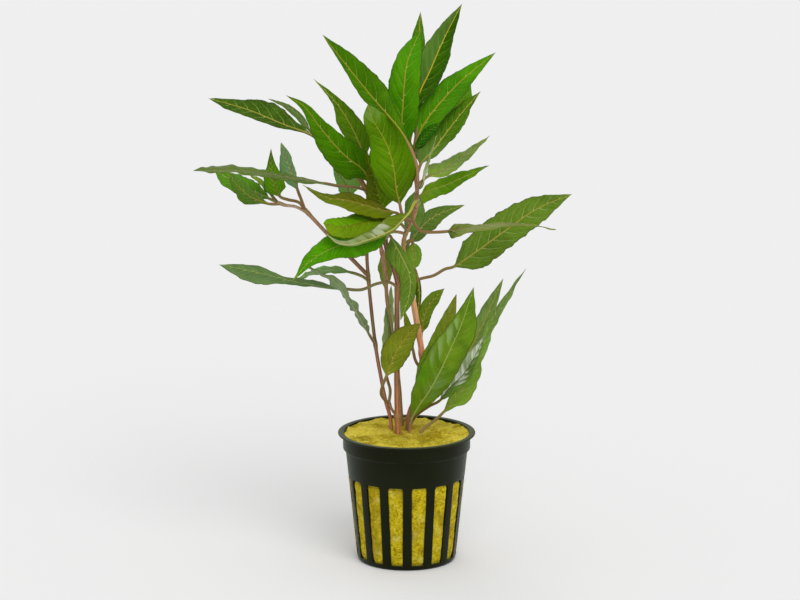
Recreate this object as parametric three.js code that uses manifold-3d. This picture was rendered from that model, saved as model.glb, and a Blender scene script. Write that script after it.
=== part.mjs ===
// A willow-leaved hygrophila for an aquarium, growing out of rock wool in a slotted plastic pot.
// Millimetres, +Z up. The origin is the middle of the pot's flat underside. The plant's broad
// side faces -Y, and +X is to the right of someone who looks at that side.

import * as THREE from 'three';
import { mergeVertices } from 'three/addons/utils/BufferGeometryUtils.js';
import Module from 'manifold-3d';

const wasm = await Module();
wasm.setup();

// Driving dimensions

const gap = 0.3; // left between pieces that touch

const pot = {
  height: 51.4,
  baseRadius: 19.4, // where the wall would meet the floor line
  wallRadius: 24.0, // just under the collar
  collarRadius: 25.0,
  rimRadius: 27.0,
  collarFoot: 44.6, // height where the wall steps out
  collarStep: 1.0, // height of that slanted step
  rimThickness: 0.7,
  rimRounding: 0.2,
  footRounding: 1.4,
  wall: 0.9,
  floor: 1.2,
  sides: 45,
};

const slot = {
  count: 15,
  turn: 0.7, // degrees that the front rib stands to the right of the middle
  foot: 2.0,
  head: 34.2,
  footWidth: 4.6,
  headWidth: 5.9,
  corner: 0.7,
};

const drain = { count: 10, from: 7.5, to: 15.5, width: 2.0 };

const wool = {
  top: 50.4, // mean height of the upper surface
  lump: 0.5, // how far that surface swells and sinks
  edgeDrop: 0.3,
  sides: 30,
  socketDepth: 4.0, // how far stems and stalks stand in it
};

const leafMake = {
  stalkRadius: 0.6,
  thickness: 0.34, // half of it, at the midrib of the blade
  tipThickness: 0.2,
  rise: 0.3, // how steeply the halves rise from the midrib
  droop: 0.22, // how far they bend back down
  widthsAt: [0.2, 0.45, 0.7], // shares of the blade's length where its half widths are given
  stations: [0, 0.1, 0.2, 0.45, 0.7, 0.87],
};

// Stems, each a list of points from its foot to its top

const stems = {
  left_stem: {
    radius: 0.72,
    points: [
      [-5.8, 4.6, 46.3], [-6.3, 5, 55], [-8.3, 5.5, 62.5], [-10.5, 6, 74], [-12, 6, 83],
      [-14, 5, 101], [-15, 4, 113], [-15.5, 5, 122], [-14.5, 6, 133], [-13.5, 7, 146],
    ],
  },
  main_stem: {
    radius: 1.15,
    points: [
      [-3.3, 0.7, 46.3], [-3.6, 1, 58], [-3.8, 1, 76], [-3.8, 0, 94], [-3.7, 0, 106],
      [-3.4, 0, 110], [-5, 0, 116.5], [-8, 2, 125], [-9, 4, 134], [-9, 5, 140],
    ],
  },
  back_stem: {
    radius: 0.8,
    points: [
      [-1.9, 12, 46.3], [-2.2, 13, 55], [-3.2, 13, 69], [-5.8, 12, 89.5],
      [-7.7, 11, 102], [-8.3, 10.5, 112], [-10.5, 10, 126],
    ],
  },
  right_stem: {
    radius: 0.9,
    points: [
      [0.2, 6, 46.3], [0.9, 6.5, 56.5], [4.3, 7, 65.5], [6, 7, 79.5], [4.5, 7, 90.5], [2.6, 7, 102],
      [0.5, 6, 115], [-1.1, 4.4, 122.5], [-1.1, 3.4, 127], [0.1, 1.8, 131.5], [1.4, 0.8, 134.5],
      [2.9, -0.3, 137.8], [3.5, -1, 141], [3.8, -1.6, 144.8], [4, -2, 148.5], [3.5, -2.2, 153],
      [3, -1.5, 158], [2.6, 0, 162.5],
    ],
  },
  left_branch: {
    radius: 0.85,
    on: ['left_stem', 113],
    points: [[-21, 3, 119.5], [-31.5, 1, 131], [-39.5, 0, 140]],
  },
  left_twig: {
    radius: 0.6,
    on: ['left_branch', 138.5],
    points: [[-43, 0.5, 141], [-47, 1, 141.5], [-50, 1.5, 142.5]],
  },
  side_shoot: {
    radius: 0.55,
    on: ['main_stem', 57],
    points: [[-6, 0.5, 60.5], [-7, 1.5, 63]],
  },
};

// Leaves. Each grows on a stem at a height, or stands in the wool. Its stalk and its blade are
// lists of points along the midrib. Left and right are the half widths of the blade on each side
// of the midrib, looking along it at the upper face, at the shares of its length in leafMake.
// The roll is how far that face turns about the midrib from facing the front, in degrees, at the
// foot of the blade and at its tip. A larger bluntness makes a rounder tip.

const leaves = {
  leaf_crown_tall: {
    on: ['right_stem', 161.5],
    stalk: [[1.6, -1, 162.8]],
    blade: [
      [0.6, -2, 165.5], [-1, -3, 170], [-1.8, -3.5, 175.5], [-1.4, -2.5, 181.5],
      [-1, -1, 188], [0.4, 4.5, 197.4], [5.6, 16, 208],
    ],
    left: [4.7, 6.1, 4.4],
    right: [6.2, 6.2, 5.2],
    roll: [-5, -5],
    tone: 'bright',
  },
  leaf_crown_back: {
    on: ['right_stem', 160.5],
    stalk: [[1.2, 4, 166]],
    blade: [[3.5, 10, 174], [3.5, 18, 186], [4.5, 26, 200.5], [5.5, 32, 213]],
    left: [3.1, 3.9, 3.1],
    right: [3.1, 3.5, 2.7],
    roll: [0, 0],
    tone: 'dark',
  },
  leaf_crown_top: {
    on: ['right_stem', 162.5],
    stalk: [[3.6, 1, 170]],
    blade: [[3.4, 2.5, 178.5], [5, 4.5, 185.2], [8.5, 8, 192], [14.5, 13, 205], [21.5, 17, 218]],
    left: [2.2, 6.2, 4.2],
    right: [5, 5.6, 3.4],
    roll: [20, 10],
    tone: 'dark',
  },
  leaf_crown_right: {
    on: ['right_stem', 160.5],
    stalk: [[3.2, 1.5, 163]],
    blade: [[3.8, 3, 165.5], [5.3, 5, 170], [9, 8, 175.5], [14, 12, 181], [22, 20, 188], [35, 28, 197.5]],
    left: [5, 5.5, 3.4],
    right: [5, 5.3, 3.4],
    roll: [-15, -15],
    tone: 'bright',
  },
  leaf_crown_far: {
    on: ['right_stem', 151.3],
    stalk: [[4.2, 4, 154], [7, 12, 158.8]],
    blade: [[10, 18, 163.5], [15, 24, 168], [20, 31, 174], [23, 36, 182], [24.5, 38, 187]],
    left: [3.9, 3.9, 2.4],
    right: [5.4, 5.2, 4.2],
    roll: [-10, 0],
    tone: 'bright',
    bluntness: 1.5,
  },
  leaf_small_lobe: {
    on: ['right_stem', 157.5],
    stalk: [],
    blade: [[3.4, -4, 163.5], [5.6, -5, 167.5], [8.5, -6, 171.5], [12.5, -7.5, 174.8]],
    left: [1.6, 2, 1.7],
    right: [1.8, 2.2, 2],
    roll: [-10, -10],
    tone: 'dark',
    bluntness: 2.5,
  },
  leaf_right_upper: {
    on: ['right_stem', 153],
    stalk: [[4.6, 0.5, 155.3]],
    blade: [
      [5.2, 2.5, 157], [7, 5, 159], [10, 8, 161.5],
      [15, 12, 167.5], [21, 17, 174.5], [29, 22, 183],
    ],
    left: [4.8, 4.5, 3.5],
    right: [2.4, 3.3, 2.2],
    roll: [-15, -15],
    tone: 'dark',
  },
  leaf_edge_on: {
    on: ['right_stem', 149],
    stalk: [[5.2, -3.8, 149.3]],
    blade: [[6.2, -5, 151.5], [7, -6, 156], [8.5, -8, 161.5], [11.5, -11, 171]],
    left: [4.4, 3, 1.8],
    right: [4.2, 2.2, 1.4],
    roll: [78, 72],
    tone: 'pale',
  },
  leaf_pale_right: {
    on: ['right_stem', 149.5],
    stalk: [[6, 1.5, 151]],
    blade: [[8, 5, 152], [13.5, 10, 153], [22.5, 18, 158], [33, 28, 164.5]],
    left: [6.3, 3.9, 1.8],
    right: [3.8, 3.6, 2],
    roll: [-62, -50],
    tone: 'pale',
  },
  leaf_right_low: {
    on: ['right_stem', 145.5],
    stalk: [],
    blade: [[4.9, -4, 146], [9, -9, 149], [15, -15.5, 152.3], [22, -22.5, 156.8], [31, -30, 162.5]],
    left: [4.3, 3.9, 2.5],
    right: [5.3, 4, 2.3],
    roll: [-57, -50],
    tone: 'bright',
  },
  leaf_left_top: {
    on: ['right_stem', 147],
    stalk: [[4, -9, 149.5], [4.2, -15, 154.5], [3.6, -17.5, 161]],
    blade: [
      [1, -18, 168], [-2.2, -17.5, 173.5], [-6.5, -15, 178.5],
      [-13.5, -8, 185.5], [-22, -1, 195], [-32.5, 8, 207],
    ],
    left: [0.6, 3.4, 1.8],
    right: [2.7, 6.7, 5],
    roll: [10, 0],
    tone: 'bright',
  },
  leaf_front_big: {
    on: ['right_stem', 136],
    stalk: [[-0.6, -2.4, 137.2], [-2, -3.8, 139.6]],
    blade: [
      [-2.6, -5.5, 142.8], [-4, -8.5, 149.2], [-4.6, -10.5, 155], [-5.6, -11.5, 161], [-7.6, -12.5, 167.5],
      [-10.2, -13.5, 172.5], [-13.2, -15, 178], [-14.8, -16, 183.5],
    ],
    left: [6.2, 8.6, 4.6],
    right: [6.6, 9.4, 7.2],
    roll: [8, 8],
    tone: 'bright',
    bluntness: 1.6,
  },
  leaf_olive_left: {
    on: ['right_stem', 134],
    stalk: [[-0.4, -4, 136.4], [-2.2, -5.4, 138.4]],
    blade: [
      [-4, -7, 140], [-9, -9.5, 141.2], [-16, -13, 144],
      [-23.5, -18, 147], [-30, -22, 148.5], [-39.5, -27, 154.5],
    ],
    left: [5.3, 6.4, 3.3],
    right: [3.7, 4.4, 2],
    roll: [62, 55],
    tone: 'olive',
  },
  leaf_spoon: {
    on: ['right_stem', 131.5],
    stalk: [[-2.2, -3.6, 135]],
    blade: [
      [-4.2, -7.5, 137.4], [-8.5, -10.5, 138.2], [-12.5, -13, 138.5],
      [-18.5, -19, 138], [-24.5, -25, 138], [-30.5, -30, 140],
    ],
    left: [5, 6.2, 5.6],
    right: [1.9, 4.9, 4.3],
    roll: [50, 50],
    tone: 'olive',
    bluntness: 2.2,
  },
  leaf_curled_pale: {
    on: ['right_stem', 144],
    stalk: [[2.6, -6.8, 143.2]],
    blade: [
      [1.2, -9.4, 140.8], [-2.2, -13, 137.6], [-5, -17, 135.6], [-9.5, -23, 134.5], [-15, -31, 134],
      [-21, -37, 133.5], [-26, -41, 135], [-30.5, -43, 139],
    ],
    left: [0.8, 1, 0.8],
    right: [5.4, 4.6, 2.2],
    roll: [25, 30],
    tone: 'pale',
    rise: 0.45,
    droop: 0.15,
  },
  leaf_edge_right: {
    on: ['right_stem', 140.5],
    stalk: [[2.2, -5, 140.3], [2.6, -8.5, 137], [5.5, -13, 134], [11.5, -15, 134]],
    blade: [
      [15.5, -16, 134.5], [27, -20, 137], [37.5, -22, 138.5],
      [50.5, -27, 138.5], [56.5, -29, 137.5],
    ],
    left: [4, 1.3, 1],
    right: [5.6, 5.1, 1.9],
    roll: [-78, -78],
    tone: 'pale',
  },
  leaf_bright_left: {
    on: ['right_stem', 130],
    stalk: [[-4, -1.5, 131.5]],
    blade: [[-7, -6, 132], [-17, -15, 131], [-27.5, -25, 130], [-36.5, -32, 126], [-43, -36, 119.5]],
    left: [6, 7, 3.9],
    right: [5.1, 6.2, 4.4],
    roll: [45, 40],
    tone: 'bright',
  },
  leaf_hanging_front: {
    on: ['main_stem', 127.5],
    stalk: [[-7, -2.5, 130]],
    blade: [
      [-6.2, -6.5, 130.6], [-4, -11, 127.5], [-1.4, -14.5, 123.2], [1.1, -17, 117.5],
      [1, -18, 110], [-2.5, -17, 99.8],
    ],
    left: [1.8, 2.4, 2.2],
    right: [5.4, 4.3, 3.8],
    roll: [0, 0],
    tone: 'green',
  },
  leaf_narrow_upright: {
    on: ['main_stem', 136.5],
    stalk: [],
    blade: [
      [-9.2, 0.5, 139.8], [-10.6, -1, 144.5], [-12.2, -4, 151.5],
      [-14.6, -7, 158.5], [-15.5, -9, 165.3],
    ],
    left: [5.4, 4.4, 1.6],
    right: [6.4, 4.6, 1.8],
    roll: [25, 25],
    tone: 'dark',
  },
  leaf_left_long_low: {
    on: ['main_stem', 108.5],
    stalk: [[-5, -3, 111], [-7.5, -5.5, 112.5], [-12, -7, 112], [-17.5, -8, 110]],
    blade: [
      [-25, -8.5, 110.5], [-32.5, -10, 111.5], [-44, -12, 114],
      [-55.5, -14, 117.5], [-72, -16, 121.5],
    ],
    left: [1, 2.7, 5.7],
    right: [4.4, 1.9, 3.1],
    roll: [85, 35],
    tone: 'pale',
  },
  leaf_back_hanging: {
    on: ['back_stem', 121],
    stalk: [],
    blade: [[-9.2, 13, 121], [-8.5, 14, 113], [-8.5, 14, 105]],
    left: [3.2, 3.2, 2.4],
    right: [1.6, 2.9, 2],
    roll: [20, 20],
    tone: 'dark',
  },
  leaf_low_back: {
    on: ['back_stem', 51.5],
    stalk: [[2, 14, 55], [7.5, 14.5, 59.5]],
    blade: [[13.5, 15, 63.5], [21, 17, 73], [29, 20, 87.5], [38.5, 24, 108]],
    left: [2.4, 3.6, 3.2],
    right: [2.4, 3.2, 2.6],
    roll: [0, 0],
    tone: 'dark',
  },
  leaf_grey_back: {
    on: ['left_stem', 136],
    stalk: [[-17.5, 10, 139.5]],
    blade: [[-21.5, 13, 142.5], [-24, 15, 147.5], [-27, 17, 151.5], [-29, 19, 155]],
    left: [3.6, 3.1, 1.8],
    right: [5.5, 4.7, 2.4],
    roll: [20, 0],
    tone: 'pale',
  },
  leaf_mid_left: {
    on: ['left_stem', 146],
    stalk: [[-14.2, 5, 150.5]],
    blade: [[-16, 3, 154.5], [-24, -1, 161.5], [-33, -7, 173], [-39, -11.5, 182], [-46, -15, 187]],
    left: [6.9, 5.7, 2.6],
    right: [6.2, 4.6, 2.4],
    roll: [10, 5],
    tone: 'bright',
  },
  leaf_dark_left: {
    on: ['left_stem', 145],
    stalk: [[-13.5, 9.5, 150]],
    blade: [[-16, 10, 158], [-21, 9, 170], [-27, 8, 180], [-36, 7, 190]],
    left: [4.5, 4.5, 1.2],
    right: [4.3, 3.9, 2],
    roll: [20, 20],
    tone: 'dark',
  },
  leaf_far_left: {
    on: ['left_stem', 142],
    stalk: [[-20, 11, 151.5], [-30, 13, 161.5]],
    blade: [[-36.5, 14, 166.5], [-48, 17, 170.5], [-61.5, 21, 175.5], [-78, 26, 179.5]],
    left: [1.4, 3.2, 3.2],
    right: [5.2, 7.8, 3.6],
    roll: [45, 40],
    tone: 'dark',
  },
  leaf_thin_left: {
    on: ['left_stem', 143.5],
    stalk: [[-20, 7.5, 154], [-31.5, 6.5, 165]],
    blade: [[-37, 6, 169.5], [-42, 5, 176], [-47, 4, 180], [-53.5, 2, 183]],
    left: [3.1, 3.2, 1.6],
    right: [3, 2.7, 1.4],
    roll: [62, 62],
    tone: 'pale',
  },
  leaf_long_left: {
    on: ['left_stem', 144.5],
    stalk: [[-17, 2.5, 147.5], [-21, -1, 149], [-26.5, -4, 150]],
    blade: [[-31.5, -7, 151.5], [-44.5, -12, 154.5], [-61.5, -17, 158], [-81, -22, 159]],
    left: [4.5, 5.2, 3.5],
    right: [2.9, 3.1, 5],
    roll: [80, 80],
    tone: 'pale',
    bluntness: 3,
  },
  leaf_pale_upright: {
    on: ['left_branch', 139.8],
    stalk: [[-41, -2, 145]],
    blade: [[-42, -3, 148], [-43, -3, 152], [-45.4, -1, 158], [-48.5, 2, 166]],
    left: [3.7, 4.9, 2.9],
    right: [1.1, 1.8, 2],
    roll: [-20, -20],
    tone: 'pale',
  },
  leaf_left_lower: {
    on: ['left_twig', 142],
    stalk: [],
    blade: [[-53, 1, 142], [-57, 0.2, 143.3], [-61, -1, 145.5], [-66, -4, 151], [-68.5, -7, 156]],
    left: [1.7, 5.1, 3.4],
    right: [2.7, 3.7, 3.2],
    roll: [53, 53],
    tone: 'bright',
  },
  leaf_left_back: {
    on: ['left_twig', 141.8],
    stalk: [],
    blade: [[-53, 6, 143], [-59, 10, 145], [-67, 13, 148.5], [-75.5, 16, 152.5]],
    left: [3.2, 5.1, 4.8],
    right: [2.8, 4.7, 3.8],
    roll: [50, 50],
    tone: 'green',
  },
  leaf_left_narrow: {
    on: ['left_twig', 142.5],
    stalk: [],
    blade: [[-52.5, 4, 145], [-55.5, 5.5, 149], [-61.5, 6, 153]],
    left: [2.5, 2.3, 1.5],
    right: [1.9, 1.9, 1.2],
    roll: [65, 65],
    tone: 'olive',
  },
  leaf_left_dark: {
    on: ['left_branch', 140],
    stalk: [[-41.8, 2.2, 142.4], [-46, 1.5, 143.6]],
    blade: [[-49, 0.5, 145], [-51, 0, 150], [-52, 1, 156], [-52.5, 3, 163.5]],
    left: [4.4, 3.7, 1.6],
    right: [4.1, 3.4, 1.4],
    roll: [-10, -10],
    tone: 'dark',
  },
  leaf_left_small: {
    on: ['left_stem', 111],
    stalk: [[-17.5, 1, 113.5]],
    blade: [[-21.5, 0.5, 115], [-28, -1, 116.5], [-35.5, -3, 116], [-44, -6, 113]],
    left: [3, 3.9, 2.7],
    right: [2.6, 3, 1.9],
    roll: [75, 75],
    tone: 'pale',
  },
  leaf_bumpy: {
    on: ['left_stem', 85],
    stalk: [],
    blade: [[-14.5, 1, 90], [-17.5, -6, 98], [-23.5, -17, 110], [-27.5, -21, 116], [-38, -25, 122.5]],
    left: [2.1, 1.8, 2.3],
    right: [2.8, 2.2, 2.8],
    roll: [140, 140],
    tone: 'pale',
  },
  leaf_right_back: {
    on: ['right_stem', 121.5],
    stalk: [[-0.3, 8.6, 122.6]],
    blade: [[0.6, 10.2, 124.2], [2.6, 11.5, 126.8], [5.5, 14, 130.3], [12, 19, 134.4], [23, 23, 137.5]],
    left: [4.2, 3.7, 2.4],
    right: [4.2, 4.5, 2.4],
    roll: [50, -30],
    tone: 'green',
  },
  leaf_behind_hanging: {
    on: ['right_stem', 115],
    stalk: [[2.6, 9.5, 115]],
    blade: [[3.8, 11.5, 112.5], [4.8, 12, 107.5], [5, 12, 102.5], [4.5, 11.5, 96]],
    left: [0.8, 0.9, 0.8],
    right: [1.6, 1.6, 1.2],
    roll: [0, 0],
    tone: 'dark',
  },
  leaf_right_hanging: {
    on: ['right_stem', 125.5],
    stalk: [[1.8, 5.6, 127]],
    blade: [[2.4, 7.2, 125.2], [3, 7.6, 121.5], [3.2, 7.5, 118], [2.6, 7, 114.8]],
    left: [1.6, 2.2, 1.8],
    right: [2.4, 2.8, 2],
    roll: [0, 0],
    tone: 'olive',
  },
  leaf_stem_back: {
    on: ['right_stem', 127],
    stalk: [[-0.8, 5.8, 127.9]],
    blade: [[-0.4, 7, 129.2], [0.9, 7.6, 132], [2.4, 8.2, 135.5], [3.4, 8.8, 139.5], [3.7, 9.4, 146]],
    left: [2.2, 3.7, 4.2],
    right: [4, 4.4, 3],
    roll: [0, 0],
    tone: 'pale',
  },
  leaf_olive_right: {
    on: ['right_stem', 81],
    stalk: [[5.6, 9.5, 84.5]],
    blade: [[5.8, 10.8, 88], [6.6, 11.5, 93], [8.2, 13, 98], [11.5, 15.5, 101.8], [15, 18, 105]],
    left: [1.6, 2.9, 2.9],
    right: [1.6, 2.4, 2.2],
    roll: [0, 0],
    tone: 'olive',
  },
  leaf_big_right: {
    on: ['right_stem', 109],
    stalk: [[5, 4.5, 111.5], [10.5, 2, 113.5], [15, 0, 116.5]],
    blade: [[18, -1, 117.5], [27, -5, 124.5], [38, -9, 133.5], [49.5, -13, 142.5], [63, -16, 149]],
    left: [6.2, 7.3, 5.5],
    right: [6.8, 6.2, 5.7],
    roll: [-10, -10],
    tone: 'dark',
  },
  leaf_low_dark: {
    on: ['right_stem', 74.5],
    stalk: [[3.5, 4, 79]],
    blade: [[2.5, 3, 83.5], [1.5, 2.8, 88.5], [0.5, 3, 93], [-1, 4, 99.5]],
    left: [1.2, 1.6, 1.2],
    right: [1.2, 1.6, 1.2],
    roll: [0, 0],
    tone: 'olive',
  },
  leaf_front_olive: {
    on: ['side_shoot', 62.5],
    stalk: [[-9, -1.5, 65], [-10, -4.5, 68], [-9.3, -8, 72]],
    blade: [[-8, -10, 75.8], [-6.6, -10.3, 80], [-4, -11, 86], [-0.5, -10, 91.5], [5.5, -7, 96.5]],
    left: [4.1, 6, 4.6],
    right: [4.3, 5.2, 4.2],
    roll: [10, 10],
    tone: 'olive',
  },
  leaf_low_grey: {
    on: ['side_shoot', 62.8],
    stalk: [[-6.5, 7, 66.5]],
    blade: [[-7.7, 8.5, 71], [-8, 10.5, 78.5], [-7, 13, 91.5], [-6, 15, 107]],
    left: [1.8, 3.1, 2.8],
    right: [1.5, 2.6, 2.4],
    roll: [45, 45],
    tone: 'pale',
  },
  leaf_low_big: {
    radius: 0.8,
    stalk: [[1, 1.8, 47], [1.2, 1.8, 51.5]],
    blade: [
      [2, 1, 56], [4.8, -1.5, 62], [8.5, -5.5, 68.5], [12.5, -10, 77], [16.5, -14.5, 87],
      [21, -20, 99], [25.5, -24, 114.5],
    ],
    left: [5, 7.4, 4.8],
    right: [2.8, 6.6, 6.6],
    roll: [-10, -10],
    tone: 'bright',
  },
  leaf_low_left: {
    stalk: [[0.4, 3.9, 46.8], [0.4, 4, 51]],
    blade: [
      [0.8, 4.2, 55], [2.5, 4.4, 60], [4.6, 4.6, 66], [7.5, 5, 75], [11.8, 5.2, 84.5],
      [15.5, 5.2, 93.5], [19.5, 5, 105.5],
    ],
    left: [2.6, 4.2, 3.2],
    right: [2.8, 3.5, 3.4],
    roll: [0, 0],
    tone: 'olive',
    bluntness: 1.6,
  },
  leaf_low_right: {
    stalk: [[3.5, 1.2, 47], [7, 3, 52], [11, 4.5, 54.6]],
    blade: [
      [13.8, 5.3, 57], [17, 6.2, 60.5], [22, 8, 66.5],
      [27.5, 10, 78.5], [34.5, 12, 94.5], [47, 14, 114],
    ],
    left: [3.2, 2, 1.5],
    right: [5, 2.6, 1.9],
    roll: [-20, -30],
    tone: 'green',
  },
  leaf_low_silver: {
    stalk: [[3.5, 8, 46.5], [4.5, 6, 54.5], [8.5, 3.5, 59.5]],
    blade: [[11.5, 1, 63], [17, -1, 69], [23, -3, 76], [31, -6, 92]],
    left: [1.9, 3.3, 2],
    right: [3.7, 6, 3.7],
    roll: [-50, -50],
    tone: 'silver',
    rise: 0.6,
  },
};

// Materials

const finish = (color, roughness, metalness = 0) =>
  new THREE.MeshStandardMaterial({ color, roughness, metalness });

const plastic = finish(0x161c12, 0.5);
const mineralWool = finish(0xbfae38, 1.0);
const stemSkin = finish(0xa8704f, 0.45);
const leafTones = {
  bright: finish(0x3f8a12, 0.4),
  green: finish(0x3a7228, 0.42),
  dark: finish(0x2e5a18, 0.42),
  olive: finish(0x76841c, 0.45),
  pale: finish(0x6f9466, 0.5),
  silver: finish(0x8aa88a, 0.5),
};

// Solids and geometries

function toSolid(geometry) {
  const bare = geometry.clone();
  bare.deleteAttribute('normal');
  bare.deleteAttribute('uv');
  const merged = mergeVertices(bare, 1e-4);
  return new wasm.Manifold(new wasm.Mesh({
    numProp: 3,
    vertProperties: new Float32Array(merged.attributes.position.array),
    triVerts: new Uint32Array(merged.index.array),
  }));
}

function toGeometry(solid) {
  const mesh = solid.getMesh();
  const geometry = new THREE.BufferGeometry();
  geometry.setAttribute('position', new THREE.BufferAttribute(mesh.vertProperties, 3));
  geometry.setIndex(new THREE.BufferAttribute(mesh.triVerts, 1));
  geometry.computeVertexNormals();
  return geometry;
}

function turned(profile, sides) {
  const points = profile.map(([radius, height]) => new THREE.Vector2(radius, height));
  const geometry = new THREE.LatheGeometry(points, sides);
  geometry.rotateX(Math.PI / 2);
  return geometry;
}

// Pot

function slotCutter(angle) {
  const outline = new THREE.Shape([
    new THREE.Vector2(-slot.footWidth / 2, slot.foot),
    new THREE.Vector2(slot.footWidth / 2, slot.foot),
    new THREE.Vector2(slot.headWidth / 2, slot.head - slot.corner),
    new THREE.Vector2(slot.headWidth / 2 - slot.corner, slot.head),
    new THREE.Vector2(slot.corner - slot.headWidth / 2, slot.head),
    new THREE.Vector2(-slot.headWidth / 2, slot.head - slot.corner),
  ]);
  const inner = pot.baseRadius * 0.8;
  const geometry = new THREE.ExtrudeGeometry(outline, {
    depth: pot.rimRadius - inner,
    bevelEnabled: false,
  });
  geometry.rotateX(Math.PI / 2);
  geometry.translate(0, -inner, 0);
  geometry.rotateZ(angle);
  return toSolid(geometry);
}

function drainCutter(angle) {
  const length = drain.to - drain.from;
  const geometry = new THREE.BoxGeometry(drain.width, length, 4 * pot.floor);
  geometry.translate(0, drain.from + length / 2, 0);
  geometry.rotateZ(angle);
  return toSolid(geometry);
}

function potWallRadius(height) {
  const slope = (pot.wallRadius - pot.baseRadius) / pot.collarFoot;
  return pot.baseRadius + slope * height;
}

function potGeometry() {
  const top = pot.height;
  const collarTop = top - pot.rimThickness;
  const stepTop = pot.collarFoot + pot.collarStep;
  const bend = pot.footRounding;
  const round = pot.rimRounding;
  const profile = [
    [0, 0],
    [potWallRadius(0) - bend, 0],
    [potWallRadius(0) - 0.3 * bend, 0.3 * bend],
    [potWallRadius(bend), bend],
    [pot.wallRadius, pot.collarFoot],
    [pot.collarRadius - 0.05, stepTop],
    [pot.collarRadius, collarTop],
    [pot.rimRadius - round, collarTop],
    [pot.rimRadius, collarTop + pot.rimThickness / 2],
    [pot.rimRadius - round, top],
    [pot.collarRadius - pot.wall + 0.3, top],
    [pot.collarRadius - pot.wall, top - 1],
    [pot.collarRadius - pot.wall - 0.05, stepTop + 0.4],
    [pot.wallRadius - pot.wall, pot.collarFoot + 0.2],
    [potWallRadius(pot.floor) - pot.wall, pot.floor],
    [0, pot.floor],
  ];
  let body = toSolid(turned(profile, pot.sides));
  const pitch = (2 * Math.PI) / slot.count;
  const start = THREE.MathUtils.degToRad(slot.turn) + pitch / 2;
  for (let i = 0; i < slot.count; i += 1) {
    body = body.subtract(slotCutter(start + i * pitch));
  }
  for (let i = 0; i < drain.count; i += 1) {
    body = body.subtract(drainCutter((i * 2 * Math.PI) / drain.count));
  }
  return toGeometry(body);
}

// Curves of the stems and leaves

const vector = (point) => new THREE.Vector3(...point);

function curveThrough(points) {
  return new THREE.CatmullRomCurve3(points, false, 'centripetal');
}

const stemCurves = {};

function pointAtHeight(curve, height) {
  const samples = curve.getPoints(400);
  return samples.reduce((best, point) =>
    (Math.abs(point.z - height) < Math.abs(best.z - height) ? point : best));
}

function clearOf(stemName, curve, ownRadius) {
  const carrier = stemCurves[stemName].getPoints(300);
  const reach = stems[stemName].radius + gap + 0.7 * ownRadius;
  const steps = 600;
  for (let i = 0; i < steps; i += 1) {
    const point = curve.getPointAt(i / steps);
    const away = Math.min(...carrier.map((other) => other.distanceTo(point)));
    if (away > reach) {
      return i / steps;
    }
  }
  throw new Error('a piece never leaves the stem that carries it');
}

function stemCurve(name) {
  const { on, points } = stems[name];
  const own = points.map(vector);
  if (!on) {
    return curveThrough(own);
  }
  const [carrier, height] = on;
  const whole = curveThrough([pointAtHeight(stemCurves[carrier], height), ...own]);
  const start = clearOf(carrier, whole, stems[name].radius);
  return curveThrough([whole.getPointAt(start), ...own]);
}

for (const name of Object.keys(stems)) {
  stemCurves[name] = stemCurve(name);
}

function stemGeometry(name) {
  const { radius } = stems[name];
  const sides = 6;
  const ring = Array.from({ length: sides }, (_, i) => {
    const angle = (i * 2 * Math.PI) / sides;
    return new THREE.Vector2(radius * Math.cos(angle), radius * Math.sin(angle));
  });
  const curve = stemCurves[name];
  return new THREE.ExtrudeGeometry(new THREE.Shape(ring), {
    steps: Math.max(4, Math.round(curve.getLength() / 7)),
    extrudePath: curve,
    bevelEnabled: false,
  });
}

// Rock wool, filling the pot, with a socket for every stem and stalk that stands in it

function woolLump(x, y) {
  const waves = Math.sin(0.33 * x + 0.9) * Math.cos(0.29 * y - 0.4) + Math.sin(0.5 * x - 0.41 * y);
  return (wool.lump * waves) / 2;
}

function socketCutter(curve, radius) {
  const depth = curve.getPointAt(0).z;
  const foot = curve.getPointAt(0);
  const lean = curve.getTangentAt(0);
  const height = 2 * wool.socketDepth;
  const cutter = new THREE.CylinderGeometry(radius + gap, radius + gap, height, 8);
  cutter.rotateX(Math.PI / 2);
  cutter.translate(0, 0, height / 2 - gap);
  const turn = new THREE.Quaternion().setFromUnitVectors(new THREE.Vector3(0, 0, 1), lean);
  cutter.applyQuaternion(turn);
  cutter.translate(foot.x, foot.y, depth);
  return toSolid(cutter);
}

function woolGeometry(standing) {
  const step = pot.collarFoot + pot.collarStep;
  const profile = [
    [0, pot.floor + gap],
    [potWallRadius(pot.floor) - pot.wall - gap - 0.1, pot.floor + gap],
    [pot.wallRadius - pot.wall - gap - 0.1, pot.collarFoot],
    [pot.collarRadius - pot.wall - gap - 0.1, step + 1],
    [pot.collarRadius - pot.wall - gap - 0.1, wool.top - wool.edgeDrop],
    [pot.collarRadius * 0.86, wool.top],
    [pot.collarRadius * 0.55, wool.top],
    [pot.collarRadius * 0.25, wool.top],
    [0, wool.top],
  ];
  const geometry = turned(profile, wool.sides);
  const place = geometry.attributes.position;
  for (let i = 0; i < place.count; i += 1) {
    if (place.getZ(i) > wool.top - 0.1) {
      place.setZ(i, wool.top + woolLump(place.getX(i), place.getY(i)));
    }
  }
  let body = toSolid(geometry);
  for (const { curve, radius } of standing) {
    body = body.subtract(socketCutter(curve, radius));
  }
  return toGeometry(body);
}

// Leaves

// Half width of a blade: a smooth curve through the given ones, none at the foot and the tip

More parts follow.
